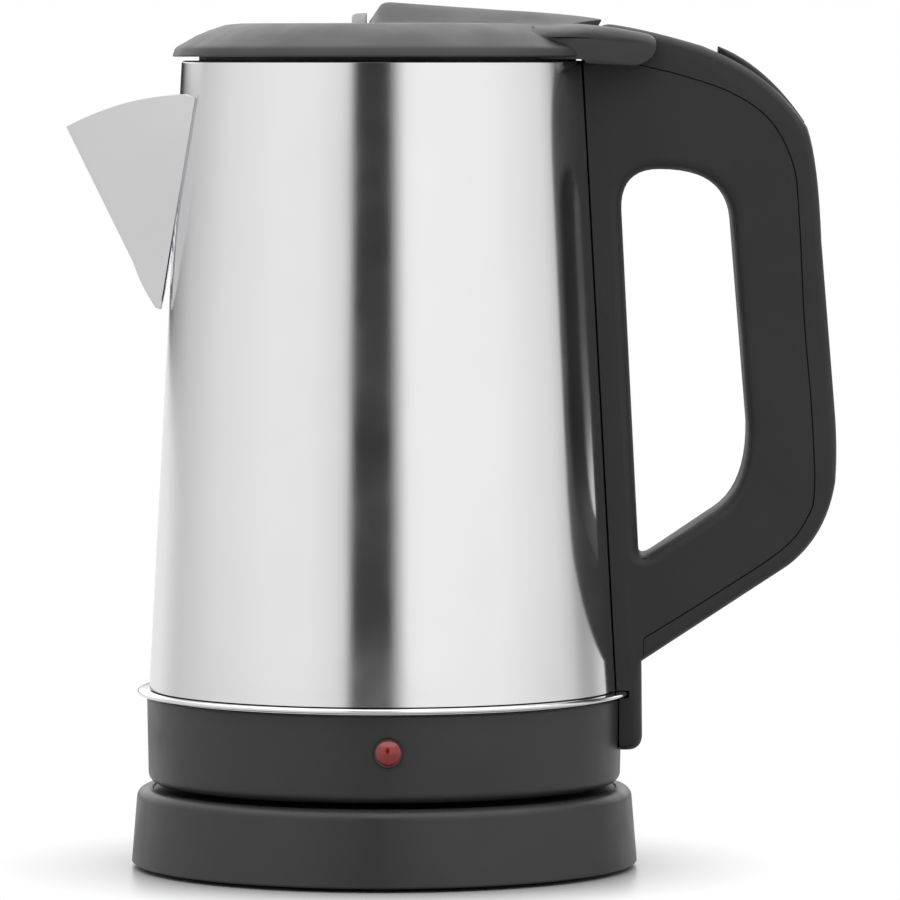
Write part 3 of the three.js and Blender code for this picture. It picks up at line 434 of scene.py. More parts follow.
def make_tint():
    """Two shades of one colour, mixed by slow noise."""
    inputs = [
        ("Scale", "NodeSocketFloat", 40.0),
        ("Shade", "NodeSocketColor", (0.03, 0.03, 0.03, 1)),
        ("Other Shade", "NodeSocketColor", (0.04, 0.04, 0.04, 1)),
    ]
    group, start, end = new_group("two_shades", inputs, [("Color", "NodeSocketColor")])
    vector = mapped(group, start, "Scale")
    mix = group.nodes.new("ShaderNodeMix")
    mix.data_type = "RGBA"
    group.links.new(noise(group, vector), mix.inputs["Factor"])
    group.links.new(start.outputs["Shade"], mix.inputs["A"])
    group.links.new(start.outputs["Other Shade"], mix.inputs["B"])
    group.links.new(mix.outputs["Result"], end.inputs["Color"])
    return group


def make_moulded_grain():
    """The fine spark texture of a moulded casing, as a height."""
    inputs = [("Scale", "NodeSocketFloat", 2200.0)]
    group, start, end = new_group("moulded_grain", inputs, [("Height", "NodeSocketFloat")])
    vector = mapped(group, start, "Scale")
    group.links.new(noise(group, vector, detail=2.0, roughness=0.7), end.inputs["Height"])
    return group


def make_polish_lines(name, stretch):
    """Fine scratches left by polishing, drawn out along one way, as a height."""
    inputs = [("Scale", "NodeSocketFloat", 900.0)]
    group, start, end = new_group(name, inputs, [("Height", "NodeSocketFloat")])
    vector = mapped(group, start, "Scale", stretch)
    group.links.new(noise(group, vector, detail=4.0, roughness=0.6), end.inputs["Height"])
    return group


PATCHINESS = make_patchiness()
TWO_SHADES = make_tint()
MOULDED_GRAIN = make_moulded_grain()
POLISH_UPRIGHT = make_polish_lines("polish_upright", (1, 1, 0.015))
POLISH_ROUND = make_polish_lines("polish_round", (0.05, 0.05, 1))


# ------------------------------------------------------------------ materials

def new_material(name, roughness, metallic=0.0):
    material = bpy.data.materials.new(name)
    material.use_nodes = True
    shader = material.node_tree.nodes["Principled BSDF"]
    shader.inputs["Roughness"].default_value = roughness
    shader.inputs["Metallic"].default_value = metallic
    return material, shader


def place(material, group, **values):
    """One of the shared effects in a material, with its own values."""
    node = material.node_tree.nodes.new("ShaderNodeGroup")
    node.node_tree = group
    for label, value in values.items():
        node.inputs[label.replace("_", " ")].default_value = value
    return node


def shaded(material, shader, shade, other, scale=40.0):
    tint = place(material, TWO_SHADES, Scale=scale, Shade=(*shade, 1), Other_Shade=(*other, 1))
    material.node_tree.links.new(tint.outputs["Color"], shader.inputs["Base Color"])


def rough_between(material, shader, low, high, scale=60.0):
    patches = place(material, PATCHINESS, Scale=scale, Low=low, High=high)
    material.node_tree.links.new(patches.outputs["Value"], shader.inputs["Roughness"])


def bumped(material, shader, group, scale, depth):
    """depth is the height of the relief, in metres."""
    relief = place(material, group, Scale=scale)
    bump = material.node_tree.nodes.new("ShaderNodeBump")
    bump.inputs["Strength"].default_value = 1.0
    bump.inputs["Distance"].default_value = depth
    material.node_tree.links.new(relief.outputs["Height"], bump.inputs["Height"])
    material.node_tree.links.new(bump.outputs["Normal"], shader.inputs["Normal"])


def black_plastic():
    material, shader = new_material("black_satin_plastic", 0.4)
    shaded(material, shader, (0.021, 0.021, 0.022), (0.028, 0.028, 0.029))
    rough_between(material, shader, 0.36, 0.46)
    bumped(material, shader, MOULDED_GRAIN, 2600.0, 0.00002)
    shader.inputs["Specular IOR Level"].default_value = 0.5
    return material


def grip_plastic():
    """The duller plastic of the handle."""
    material, shader = new_material("soft_black_grip", 0.5)
    shaded(material, shader, (0.024, 0.024, 0.025), (0.033, 0.033, 0.034))
    rough_between(material, shader, 0.46, 0.58)
    bumped(material, shader, MOULDED_GRAIN, 2600.0, 0.00002)
    shader.inputs["Specular IOR Level"].default_value = 0.28
    return material


def gloss_plastic():
    material, shader = new_material("black_gloss_plastic", 0.22)
    shaded(material, shader, (0.016, 0.016, 0.017), (0.021, 0.021, 0.022))
    rough_between(material, shader, 0.18, 0.27, scale=90.0)
    bumped(material, shader, MOULDED_GRAIN, 1500.0, 0.000004)
    return material


def inner_plastic():
    material, shader = new_material("inner_moulding", 0.5)
    shaded(material, shader, (0.045, 0.045, 0.047), (0.055, 0.055, 0.057))
    rough_between(material, shader, 0.45, 0.6)
    bumped(material, shader, MOULDED_GRAIN, 1800.0, 0.00003)
    return material


def polished_steel():
    material, shader = new_material("polished_steel", 0.12, metallic=1.0)
    shaded(material, shader, (0.79, 0.79, 0.80), (0.83, 0.83, 0.84), scale=25.0)
    rough_between(material, shader, 0.10, 0.14, scale=30.0)
    bumped(material, shader, POLISH_UPRIGHT, 1500.0, 0.000003)
    return material


def chrome():
    material, shader = new_material("bright_chrome", 0.06, metallic=1.0)
    shaded(material, shader, (0.86, 0.86, 0.87), (0.90, 0.90, 0.91), scale=30.0)
    rough_between(material, shader, 0.05, 0.10, scale=80.0)
    bumped(material, shader, POLISH_ROUND, 700.0, 0.000001)
    return material


def satin_silver():
    """The bright paint of the release button."""
    material, shader = new_material("satin_silver", 0.45, metallic=0.7)
    shaded(material, shader, (0.80, 0.80, 0.80), (0.86, 0.86, 0.86), scale=200.0)
    rough_between(material, shader, 0.42, 0.52, scale=200.0)
    bumped(material, shader, MOULDED_GRAIN, 2600.0, 0.000006)
    return material


def plain_metal(name, shade, low, high):
    material, shader = new_material(name, low, metallic=1.0)
    lighter = tuple(c * 1.12 for c in shade)
    shaded(material, shader, shade, lighter, scale=120.0)
    rough_between(material, shader, low, high, scale=200.0)
    bumped(material, shader, POLISH_ROUND, 900.0, 0.000008)
    return material


def soft_rubber(name, shade, low, high):
    material, shader = new_material(name, low)
    shaded(material, shader, shade, tuple(c * 1.3 for c in shade), scale=150.0)
    rough_between(material, shader, low, high, scale=150.0)
    bumped(material, shader, MOULDED_GRAIN, 3000.0, 0.00003)
    return material


def red_lens():
    material, shader = new_material("red_lens", 0.08)
    shaded(material, shader, (0.20, 0.001, 0.002), (0.27, 0.002, 0.003), scale=300.0)
    rough_between(material, shader, 0.06, 0.12, scale=300.0)
    shader.inputs["Coat Weight"].default_value = 0.6
    shader.inputs["Coat Roughness"].default_value = 0.05
    return material


def lamp_glass():
    material, shader = new_material("lamp_glass", 0.05)
    shader.inputs["Base Color"].default_value = (0.95, 0.88, 0.84, 1)
    shader.inputs["Transmission Weight"].default_value = 1.0
    rough_between(material, shader, 0.03, 0.08, scale=400.0)
    return material


def ceramic():
    material, shader = new_material("heat_resisting_moulding", 0.5)
    shaded(material, shader, (0.62, 0.58, 0.49), (0.70, 0.66, 0.57), scale=120.0)
    rough_between(material, shader, 0.45, 0.65, scale=200.0)
    bumped(material, shader, MOULDED_GRAIN, 1800.0, 0.00003)
    return material


FINISHES = {
    "black_plastic": black_plastic(),
    "gloss_plastic": gloss_plastic(),
    "inner_plastic": inner_plastic(),
    "polished_steel": polished_steel(),
    "chrome": chrome(),
    "steel": plain_metal("plain_steel", (0.50, 0.50, 0.51), 0.28, 0.42),
    "aluminium": plain_metal("rolled_aluminium", (0.62, 0.63, 0.64), 0.38, 0.52),
    "brass": plain_metal("contact_brass", (0.66, 0.46, 0.19), 0.25, 0.38),
    "rubber": soft_rubber("black_rubber", (0.018, 0.018, 0.018), 0.7, 0.85),
    "seal_rubber": soft_rubber("grey_silicone", (0.42, 0.42, 0.40), 0.45, 0.6),
    "red_lens": red_lens(),
    "lamp_glass": lamp_glass(),
    "ceramic": ceramic(),
}


def piece_of(obj, body, slot, *nodes):
    """A piece in its slot's own finish."""
    return finish_piece(obj, body, slot, FINISHES[slot], *nodes)


# ------------------------------------------------------------------ power base

def make_base_shell():
    """The base's casing, with a shallow seat for the kettle round the connector's bore."""
    top = BASE_HIGH.z
    edge = 3.0
    top_r = BASE_R - 1.5
    bore = 16.5
    profile = [(BASE_R - 0.5, 0), (BASE_R, 0.5)]
    profile += pairs(arc(top_r - edge, top - edge, edge, 0, 90, 8))
    profile += [(COLLAR_R - 1.5, top), (COLLAR_R - 2.0, top - 0.4), (bore + 5, top - 0.4)]
    profile += [(bore + 4.6, top), (bore + 0.5, top), (bore, top - 0.5), (bore, top - 2.4)]
    profile += [(top_r - edge - 0.6, top - 2.4), (top_r - 2.4, top - 3.6), (BASE_R - 2.4, 0)]
    shell = turned("base_shell_moulding", profile)
    gland_z = 0.42 * top
    gland = Vector((0, BASE_R - 6, gland_z)), Vector((0, BASE_R + 4, gland_z))
    boolean(shell, rod("gland_hole", 5.3, *gland), "DIFFERENCE")
    smooth(shell)
    return piece_of(shell, "power_base", "black_plastic", "base_shell")


def make_base_feet():
    """Three rubber buttons under the base."""
    for number in (1, 2, 3):
        low, high = box_mm(f"base_foot_{number}")
        centre = (low + high) / 2
        radius = high.x - centre.x
        profile = [(0, low.z + 0.25), (radius * 0.45, low.z + 0.25), (radius * 0.55, low.z)]
        profile += pairs(arc(radius - 0.5, low.z + 0.5, 0.5, -90, 0, 4))
        profile += [(radius, high.z), (0, high.z)]
        foot = turned(f"rubber_foot_{number}", profile, steps=48)
        placed(foot, Matrix.Translation(Vector((centre.x, centre.y, 0)) * MM))
        piece_of(foot, "power_base", "rubber", f"base_foot_{number}")


# ------------------------------------------------------------------ collar, bead and lamp

def make_collar():
    """The ring under the steel body, with a hole for the lamp."""
    edge = 3.0
    foot_r = COLLAR_R - 0.4
    low, high = COLLAR_LOW.z, COLLAR_HIGH.z
    cover_r = COLLAR_R - 7
    profile = [(cover_r, low)]
    profile += pairs(arc(foot_r - edge, low + edge, edge, -90, 0, 8))
    profile += [(COLLAR_R, high - 0.6), (COLLAR_R - 0.5, high), (COLLAR_R - 2.4, high)]
    profile += [(COLLAR_R - 3, low + 4), (COLLAR_R - 4, low + 2.4), (cover_r, low + 2.4)]
    collar = turned("collar_moulding", profile)
    sleeve = BEZEL_HIGH.z - LAMP.z - BEZEL_LIP
    hole = Vector((LAMP.x, -COLLAR_R - 4, LAMP.z)), Vector((LAMP.x, -COLLAR_R + 8, LAMP.z))
    boolean(collar, rod("lamp_hole", sleeve, *hole, steps=48), "DIFFERENCE")
    smooth(collar)
    return piece_of(collar, "kettle", "black_plastic", "collar_housing")


def make_bead():
    """The bright ring between the steel body and the collar."""
    low = BEAD_LOW.z + 0.45
    radius = (BEAD_HIGH.z - low) / 2
    middle = (BEAD_HIGH.z + low) / 2
    inner = BEAD_R - 5.8
    profile = [(inner, BEAD_LOW.z), (BEAD_R - 3.2, BEAD_LOW.z), (BEAD_R - 3, low)]
    profile += pairs(arc(BEAD_R - radius, middle, radius, -90, 90, 12))
    profile += [(inner, BEAD_HIGH.z)]
    bead = turned("bright_bead", profile, angle=60)
    return piece_of(bead, "kettle", "chrome", "trim_bead")


def make_lamp():
    """The indicator's black bezel and its domed red lens, laid over to face the front."""
    radius = (BEZEL_HIGH.x - BEZEL_LOW.x) / 2 + 0.25
    face = COLLAR_R + GAP
    inner = radius - 0.5
    sleeve = radius - 1.0
    ring = [(sleeve - 0.3, face - 5), (sleeve, face - 5), (sleeve, face), (radius, face)]
    ring += [(radius, face + 0.35), (radius - 0.2, face + 0.7), (inner, face + 0.6)]
    ring += [(sleeve - 0.3, face + 0.2)]
    bezel = facing_front(turned("lamp_bezel", ring, steps=64), LAMP.x, LAMP.z)
    piece_of(bezel, "kettle", "gloss_plastic", "indicator_bezel")
    lens_r = inner - 0.05
    rise = 1.7
    bulge = (lens_r ** 2 + rise ** 2) / (2 * rise)
    top = face + 0.55 + rise
    half = math.degrees(math.asin(lens_r / bulge))
    dome = pairs(arc(0, top - bulge, bulge, 90 - half, 90, 12))
    stem = [(0, face - 5), (sleeve - 0.4, face - 5), (sleeve - 0.4, face + 0.3), (lens_r, face + 0.3)]
    lens = turned("lamp_lens", stem + dome, steps=64)
    facing_front(lens, LAMP.x, LAMP.z)
    piece_of(lens, "kettle", "red_lens", "indicator_lens")


# ------------------------------------------------------------------ steel body and spout

def spout_half_width(drop):
    """Half the spout's width where it meets the body, at a height from the mouth."""
    for (z0, w0), (z1, w1) in zip(SPOUT_WIDTHS, SPOUT_WIDTHS[1:]):
        if drop <= z1 + 0.001:
            return w0 + (w1 - w0) * (drop - z0) / (z1 - z0)


def strainer_places():
    """Angle and height of each strainer hole, in rows as long as the spout is wide there."""
    places = []
    for row in range(STRAINER_ROWS):
        drop = -STRAINER_DROP - row * STRAINER_PITCH
        z = MOUTH_Z + drop
        reach = spout_half_width(drop) - STRAINER_MARGIN
        beside = math.floor(reach / STRAINER_PITCH)
        for i in range(-beside, beside + 1):
            places.append((math.pi - i * STRAINER_PITCH / body_radius(z), z))
    return places


def drill_wall(body, radius, angle, z):
    """A hole through the body's wall, at an angle about Z from the side towards the handle."""
    way = Vector((math.cos(angle), math.sin(angle), 0))
    wall = way * body_radius(z) + Vector((0, 0, z))
    boolean(body, rod("wall_drill", radius, wall - way * 4, wall + way * 3, steps=24), "DIFFERENCE")


def make_body():
    """The steel cone with its rolled rim, and the holes behind the spout and behind the handle."""
    z0, z1 = FOOT_Z, MOUTH_Z
    roll = 0.8
    levels = [z0 + (z1 - z0) * f for f in (0.2, 0.4, 0.6, 0.72, 0.9)]
    outer = [(FOOT_R, z0)] + [(body_radius(z), z) for z in levels]
    top = pairs(arc(MOUTH_R - roll, z1 - roll, roll, 0, 90, 6))
    inner_top = [(MOUTH_R - RIM_LIP, z1), (MOUTH_R - RIM_LIP, z1 - SHEET)]
    inner = [(body_radius(z) - SHEET, z) for z in [z1 - 2.5] + levels[::-1]]
    profile = outer + top + inner_top + inner + [(FOOT_R - SHEET, z0)]
    body = turned("steel_body", profile, steps=192)
    for angle, z in strainer_places():
        drill_wall(body, STRAINER_HOLE, angle, z)
    for radius, drop in REAR_HOLES:
        drill_wall(body, radius, 0, MOUTH_Z - drop)
    smooth(body)
    return piece_of(body, "kettle", "polished_steel", "body_shell")


def spout_section(t):
    """One bend of the spout's sheet, from the near cheek's edge round the nose to the far edge."""
    low, high = SPOUT_WIDTHS[0][0], SPOUT_WIDTHS[-1][0]
    drop = low + (high - low) * t
    half = spout_half_width(drop)
    z = MOUTH_Z + drop
    radius = body_radius(z) + 0.2 + 2.2 * (1 - t) ** 4
    edge = Vector((-math.sqrt(radius ** 2 - half ** 2), half, z))
    keel = at(-MOUTH_R - 7.4, MOUTH_Z - 71.5).lerp(at(-MOUTH_R - 33.2, MOUTH_Z - 19), t)
    keel.x -= 1.2 * math.sin(math.pi * min(1, 4 * t)) * 0.5
    nose = 0.05
    sway = math.sqrt((1 + nose) ** 2 - nose ** 2)
    points = []
    for i in range(-SPOUT_STEPS, SPOUT_STEPS + 1):
        s = (abs(i) / SPOUT_STEPS) ** 1.7
        width = math.sqrt((s + nose) ** 2 - nose ** 2) / sway
        rise = 10.2 * s * (1 - s) * t ** 3
        corner = 0.9 * max(0, (s - 0.93) / 0.07) ** 2 * t ** 8
        points.append(Vector((
            keel.x + (edge.x - keel.x) * s,
            (1 if i < 0 else -1) * edge.y * width,
            keel.z + (edge.z - keel.z) * s + rise - corner,
        )))
    return points


def make_spout():
    sections = [spout_section(i / SPOUT_ROWS) for i in range(SPOUT_ROWS + 1)]
    spout = carried_through("spout_sheet", sections, face=False)
    bpy.ops.mesh.select_all(action="SELECT")
    bpy.ops.mesh.normals_make_consistent(inside=False)
    bpy.ops.object.mode_set(mode="OBJECT")
    only(spout)
    wall = spout.modifiers.new("sheet", "SOLIDIFY")
    wall.thickness = SHEET * MM
    wall.offset = 0
    bpy.ops.object.modifier_apply(modifier=wall.name)
    smooth(spout, 40)
    return piece_of(spout, "kettle", "polished_steel", "spout")


# ------------------------------------------------------------------ handle

def handle_outline():
    """The handle's side outline: tongue, rail foot, lower arm, grip and top, anticlockwise."""
    rail_x, rail_z = COLLAR_R + 5.8, GRIP_LOW.z
    left = MOUTH_R - 18
    ledge = MOUTH_Z + 0.8
    arc_end = 180 + math.degrees(math.asin((HINGE_Z - ledge) / TONGUE_R))
    points = arc(HINGE_X, HINGE_Z, TONGUE_R, 160, arc_end, 8)
    first = points[0]
    points += [at(left, ledge), at(left, rail_z)]
    points += straight(points[-1], at(rail_x - 4.5, rail_z), 4)
    points += bow(points[-1], at(rail_x, rail_z), at(rail_x, rail_z + 4.5), 8)
    points += straight(points[-1], from_foot(6.3, 8.2), 4)
    points += straight(points[-1], from_foot(48.5, 35.8), 10)
    points += bow(points[-1], from_foot(59.9, 44.4), from_foot(62.3, 60.2), 12)
    points += bow(points[-1], from_foot(63.1, 70), from_foot(61.9, 83.2), 6)
    points += straight(points[-1], from_mouth(67.8, -52.2), 8)
    points += bow(points[-1], from_mouth(66.9, -28.7), from_mouth(63.6, -19.2), 8)
    points += bow(points[-1], from_mouth(53.9, -4.4), from_mouth(36.7, 2.8), 14)
    points += [from_mouth(33.4, 4.2)]
    points += bow(points[-1], from_mouth(17.8, 8.9), from_mouth(7.4, 10.4), 8)
    points += bow(points[-1], from_mouth(3.9, 10.9), first, 6)
    return points[:-1]


def opening_outline():
    """The finger opening, anticlockwise."""
    start = from_mouth(10, -42.7)
    points = straight(start, from_foot(5.3, 41.7), 8)
    points += bow(points[-1], from_foot(5.3, 37.4), from_foot(9.2, 39.8), 6)
    points += straight(points[-1], from_foot(27.7, 52.2), 4)
    points += bow(points[-1], from_foot(37.3, 58.7), from_foot(36.9, 77.2), 10)
    points += straight(points[-1], from_mouth(41.8, -45.7), 6)
    points += bow(points[-1], from_mouth(40.4, -31.3), from_mouth(20.9, -31.3), 12)
    points += bow(points[-1], from_mouth(9.8, -31.3), start, 10)
    return points


def seam_points():
    """A smooth line through the seam's points, from the lid down to the rail."""
    knots = [from_mouth(dx, dz) if top else from_foot(dx, dz) for top, dx, dz in SEAM]
    ends = [knots[0] * 2 - knots[1]] + knots + [knots[-1] * 2 - knots[-2]]
    points = []
    for a, b, c, d in zip(ends, ends[1:], ends[2:], ends[3:]):
        for i in range(5):
            t = i / 5
            points.append(0.5 * (
                b * 2 + (c - a) * t + (a * 2 - b * 5 + c * 4 - d) * t ** 2
                + (b * 3 - a - c * 3 + d) * t ** 3
            ))
    return points + [knots[-1]]


def inside_seam(name, grow):
    """A cutter for everything on the body's side of the seam."""
    seam = seam_points()
    before, after = seam[:1] + seam[:-1], seam[1:] + seam[-1:]
    moved = [moved_left(a, point, b, grow) for a, point, b in zip(before, seam, after)]
    left = MOUTH_R - 40
    foot = COLLAR_LOW.z - 10
    outline = [at(left, MOUTH_Z + 1.2 + grow)] + moved + [at(moved[-1].x, foot), at(left, foot)]
    return slab(name, outline[::-1], HANDLE_HALF + 10)


def body_cutter():
    """The room that the body, the bead and the collar take out of the handle."""
    collar = [(0, 0), (COLLAR_R + GAP, 0), (COLLAR_R + GAP, BEAD_LOW.z - 0.2)]
    bead = [(BEAD_R + GAP, BEAD_LOW.z - 0.2), (BEAD_R + GAP, BEAD_HIGH.z + 0.2)]
    cone = [(FOOT_R + GAP, BEAD_HIGH.z + 0.2), (MOUTH_R + GAP, MOUTH_Z + GAP)]
    cone += [(MOUTH_R + GAP, MOUTH_Z + 6), (0, MOUTH_Z + 6)]
    return turned("body_room", collar + bead + cone, steps=192)


def rocker_outline(grow=0.0):
    """The rocker switch from the side, anticlockwise from its raised front end."""
    front, crest = from_mouth(38.2, 4.1), from_mouth(52, -1.4)
    rear, rear_foot = from_mouth(63, -17.7), from_mouth(59.6, -20.9)
    under, front_foot = from_mouth(50, -10), from_mouth(38, -1.6)
    points = [front] + straight(front, front_foot, 3) + bow(front_foot, under, rear_foot, 10)
    points += straight(rear_foot, rear, 3) + bow(rear, crest, front, 12)[:-1]
    return offset_loop(points, -grow) if grow else points


def make_handle():
    """The grip and its outer cover, parted along the seam, with room for the rocker's swing."""
    blank = rounded_slab("handle_blank", handle_outline(), HANDLE_HALF, 2.4, 6, depth=4.6)
    opening = rounded_slab(
        "finger_opening", opening_outline(), HANDLE_HALF, 3.4, 6, depth=4.6, flare=True)
    boolean(blank, opening, "DIFFERENCE")
    boolean(blank, body_cutter(), "DIFFERENCE")
    cover = copied(blank, "handle_outer_cover")
    blank.name = "handle_grip"
    blank.data.name = "handle_grip"
    lip = copied(blank, "lip")
    boolean(lip, inside_seam("lip_cut", SEAM_LIP), "INTERSECT")
    boolean(lip, block("lip_width", 30, 140, 20, 260, HANDLE_HALF - LIP_INSET), "INTERSECT")
    boolean(blank, inside_seam("seam_cut", 0.0), "INTERSECT")
    boolean(blank, lip, "UNION")
    boolean(cover, inside_seam("seam_cut_grown", SEAM_GAP), "DIFFERENCE")
    pivot = Matrix.Translation(ROCKER_PIN * MM)
    for degrees in ROCKER_SWING:
        room = slab("rocker_room", rocker_outline(ROCKER_ROOM), ROCKER_HALF + ROCKER_SIDE_ROOM)
        placed(room, pivot @ Matrix.Rotation(math.radians(-degrees), 4, "Y") @ pivot.inverted())
        boolean(cover, room, "DIFFERENCE")
    for piece in (blank, cover):
        smooth(piece, 38)
    plastic = grip_plastic()
    finish_piece(blank, "kettle", "black_plastic", plastic, "handle_grip_shell")
    finish_piece(cover, "kettle", "black_plastic", plastic, "handle_cover")


def make_rocker():
    rocker = rounded_slab("rocker_switch", rocker_outline(), ROCKER_HALF, 0.9, 4)
    return piece_of(rocker, "rocker", "gloss_plastic", "switch_rocker")


# ------------------------------------------------------------------ lid

def lid_profile():
    outer = [(0, CROWN_Z), (LID_R - 19.4, CROWN_Z - 0.1)]
    rim = [(15.2, 0.5), (10.5, 2.1), (6.9, 3.6), (3.4, 5.6)]
    outer += [(LID_R - inset, CROWN_Z - drop) for inset, drop in rim]
    outer += [(LID_R - 1.9, LID_Z + 3.3), (LID_R - 1.1, LID_Z + 2.8), (LID_R - 0.6, LID_Z + 2.2)]
    outer += [(LID_R, LID_Z + 0.4), (LID_R - 0.3, LID_Z)]
    inner = [(LID_R - 2.6, LID_Z), (LID_R - 3.4, LID_Z + 1.8), (LID_R - 9, CROWN_Z - 5.2)]
    inner += [(LID_R - 16, CROWN_Z - 2.8), (LID_R - 20, CROWN_Z - 2.3), (0, CROWN_Z - 2.2)]
    return outer + inner


def hump():
    """The hump's flat back, with sides that slope down into the dome."""
    outline = hump_outline()
    foot = CROWN_Z - 1.2
    spine, flank = HANDLE_HALF - 4.5, HANDLE_HALF + 9
    ridge = spine - 1.2
    flanks = []
    for width, height in ((0, 0.96), (0.25, 0.78), (0.5, 0.52), (0.75, 0.26), (1, 0.04)):
        rear = 0.42 * width
        side = [
            at(p.x - rear * max(0, p.x - 28), foot + (p.z - foot) * height if p.z > foot else p.z)
            for p in outline]
        flanks.append((side, spine + (flank - spine) * width))
    left = [widened(side, -y) for side, y in flanks[::-1]]
    right = [widened(side, y) for side, y in flanks]
    return loft("hump", left + [widened(outline, -ridge), widened(outline, ridge)] + right)


def hump_outline():
    """The hump's side outline, from its steep front over its long back, anticlockwise."""
    front, top, rear = -4.4, CROWN_Z + 6.1, HINGE_X - 11
    points = [at(rear, top - 5)]
    points += bow(points[0], at(front + 58, top - 3.3), at(front + 38, top - 2.3), 8)
    points += straight(points[-1], at(front + 6.8, top - 0.1), 6)
    points += bow(points[-1], at(front + 4.1, top + 0.1), at(front + 3.2, top - 1.2), 6)
    points += straight(points[-1], at(front + 0.2, CROWN_Z + 0.4), 3)
    points += [at(front, CROWN_Z - 1.5), at(rear, CROWN_Z - 3.2)]
    return points


def arm_outline():
    """A hinge arm from the side: from under the dome, round the pin and back along its top."""
    root = LID_R - 18
    points = [at(root, LID_Z + 0.4), at(root + 3, LID_Z - 0.7), at(MOUTH_R - 0.6, LID_Z - 0.7)]
    points += [from_pin(-15, -4.2)]
    points += straight(points[-1], from_pin(-0.8, -4.9), 4)
    points += bow(points[-1], from_pin(4.9, -3.6), from_pin(4.9, 1.0), 8)
    points += bow(points[-1], from_pin(4.9, 3.4), from_pin(2.2, 4.2), 5)
    points += bow(points[-1], from_pin(-7, 6.3), from_pin(-18, 7.2), 8)
    points += straight(points[-1], at(root, CROWN_Z - 0.4), 3)
    return points


def hinge_arm(side):
    """An arm whose outer face is lower than its inner face, with a broad round slope between."""
    inner = arm_outline()
    foot = HINGE_Z - 3
    outer = [at(p.x - 0.6, foot + (p.z - foot) * (0.62 if p.z > foot else 1)) for p in inner]
    steps = 8
    sections = []
    for i in range(steps + 1):
        bend = math.pi / 2 * i / steps
        y = HANDLE_HALF + ARM_GAP + ARM_WIDTH * math.sin(bend)
        section = []
        for a, b in zip(inner, outer):
            towards_root = min(1, max(0, (HINGE_X - 8 - a.x) / 13))
            flare = ARM_SPREAD * towards_root ** 1.3 * math.sin(bend)
            section.append(a.lerp(b, 1 - math.cos(bend)) + Vector((0, side * (y + flare), 0)))
        sections.append(section)
    return loft("hinge_arm", sections)


def bore_hinge(lid, name, radius, half, steps):
    """A bore along the hinge's axis, half its length to each side of the middle."""
    ends = Vector((HINGE_X, -half, HINGE_Z)), Vector((HINGE_X, half, HINGE_Z))
    boolean(lid, rod(name, radius, *ends, steps=steps), "DIFFERENCE")


def make_lid():
    """The dome with its hump and hinge arms, and a lug under it that shades the gap at the hinge."""
    lid = turned("lid_shell", lid_profile()[::-1], steps=160)
    boolean(lid, hump(), "UNION")
    for side in (-1, 1):
        boolean(lid, hinge_arm(side), "UNION")
    boolean(lid, block("lug", LUG_FRONT, LUG_REAR, LID_Z - 2.2, LID_Z + 4, LUG_HALF), "UNION")
    bore_hinge(lid, "tongue_room", TONGUE_R + GAP, HANDLE_HALF + ARM_GAP, 128)
    bore_hinge(lid, "pin_hole", PIN_HOLE, PIN_HIGH.y + GAP, 32)
    x0, x1 = BUTTON_FRONT - BUTTON_GAP, BUTTON_REAR + BUTTON_GAP
    room = block("button_room", x0, x1, CROWN_Z - 6, CROWN_Z + 8, BUTTON_HALF + BUTTON_GAP)
    boolean(lid, room, "DIFFERENCE")
    smooth(lid, 40)
    return piece_of(lid, "lid", "black_plastic", "lid_cover")


def make_button():
    """The bright cap over the wedge that draws the bolt back, and the flange that holds it in."""
    top, tip = BUTTON_HIGH.z, BUTTON_LOW.z
    x0, x1 = BUTTON_FRONT, BUTTON_REAR
    points = [at(x0, tip), at(x1, tip + x1 - x0)]
    points += straight(points[-1], at(x1, top - 0.8), 3)
    points += bow(points[-1], at(x1, top), at(x1 - 0.8, top), 3)
    points += straight(points[-1], at(x0 + 1.4, top - 0.2), 2)
    points += bow(points[-1], at(x0, top - 0.4), at(x0, top - 1.9), 5)
    points += straight(points[-1], points[0], 3)[:-1]
    cap = rounded_slab("release_button_cap", points, BUTTON_HALF, 0.35, 3)
    x0, x1 = x0 - FLANGE_EDGE, x1 + FLANGE_EDGE
    flange_z = CROWN_Z - 2.5
    flange = block("flange", x0, x1, flange_z - FLANGE_THICK, flange_z, FLANGE_HALF)
    boolean(cap, flange, "UNION")
    smooth(cap)
    return finish_piece(cap, "button", "chrome", satin_silver(), "lid_release_button")


# ------------------------------------------------------------------ carried-over CAD nodes

def finish_cad_nodes():
    """Every CAD node that still shows takes its slot's material."""
    slots = {s["node"]: s["material_slot"] for s in frame["record"]["subparts"]}
    for name, obj in frame["nodes"].items():
        obj.data.materials.clear()
        obj.data.materials.append(FINISHES[slots[name]])


# ------------------------------------------------------------------ camera, light and floor

CAMERA_PLACE = (0.0191, -2.1, 0.2342)
CAMERA_DIP = 3.12
CAMERA_LENS = 289.6


def make_camera():
    """A long lens level with the lid, looking slightly down."""
    data = bpy.data.cameras.new("camera")
    camera = bpy.data.objects.new("camera", data)
    bpy.context.scene.collection.objects.link(camera)
    data.lens = CAMERA_LENS
    data.sensor_width = 36
    data.clip_end = 50
    camera.location = CAMERA_PLACE
    camera.rotation_euler = (math.radians(90 - CAMERA_DIP), 0, 0)
    bpy.context.scene.camera = camera


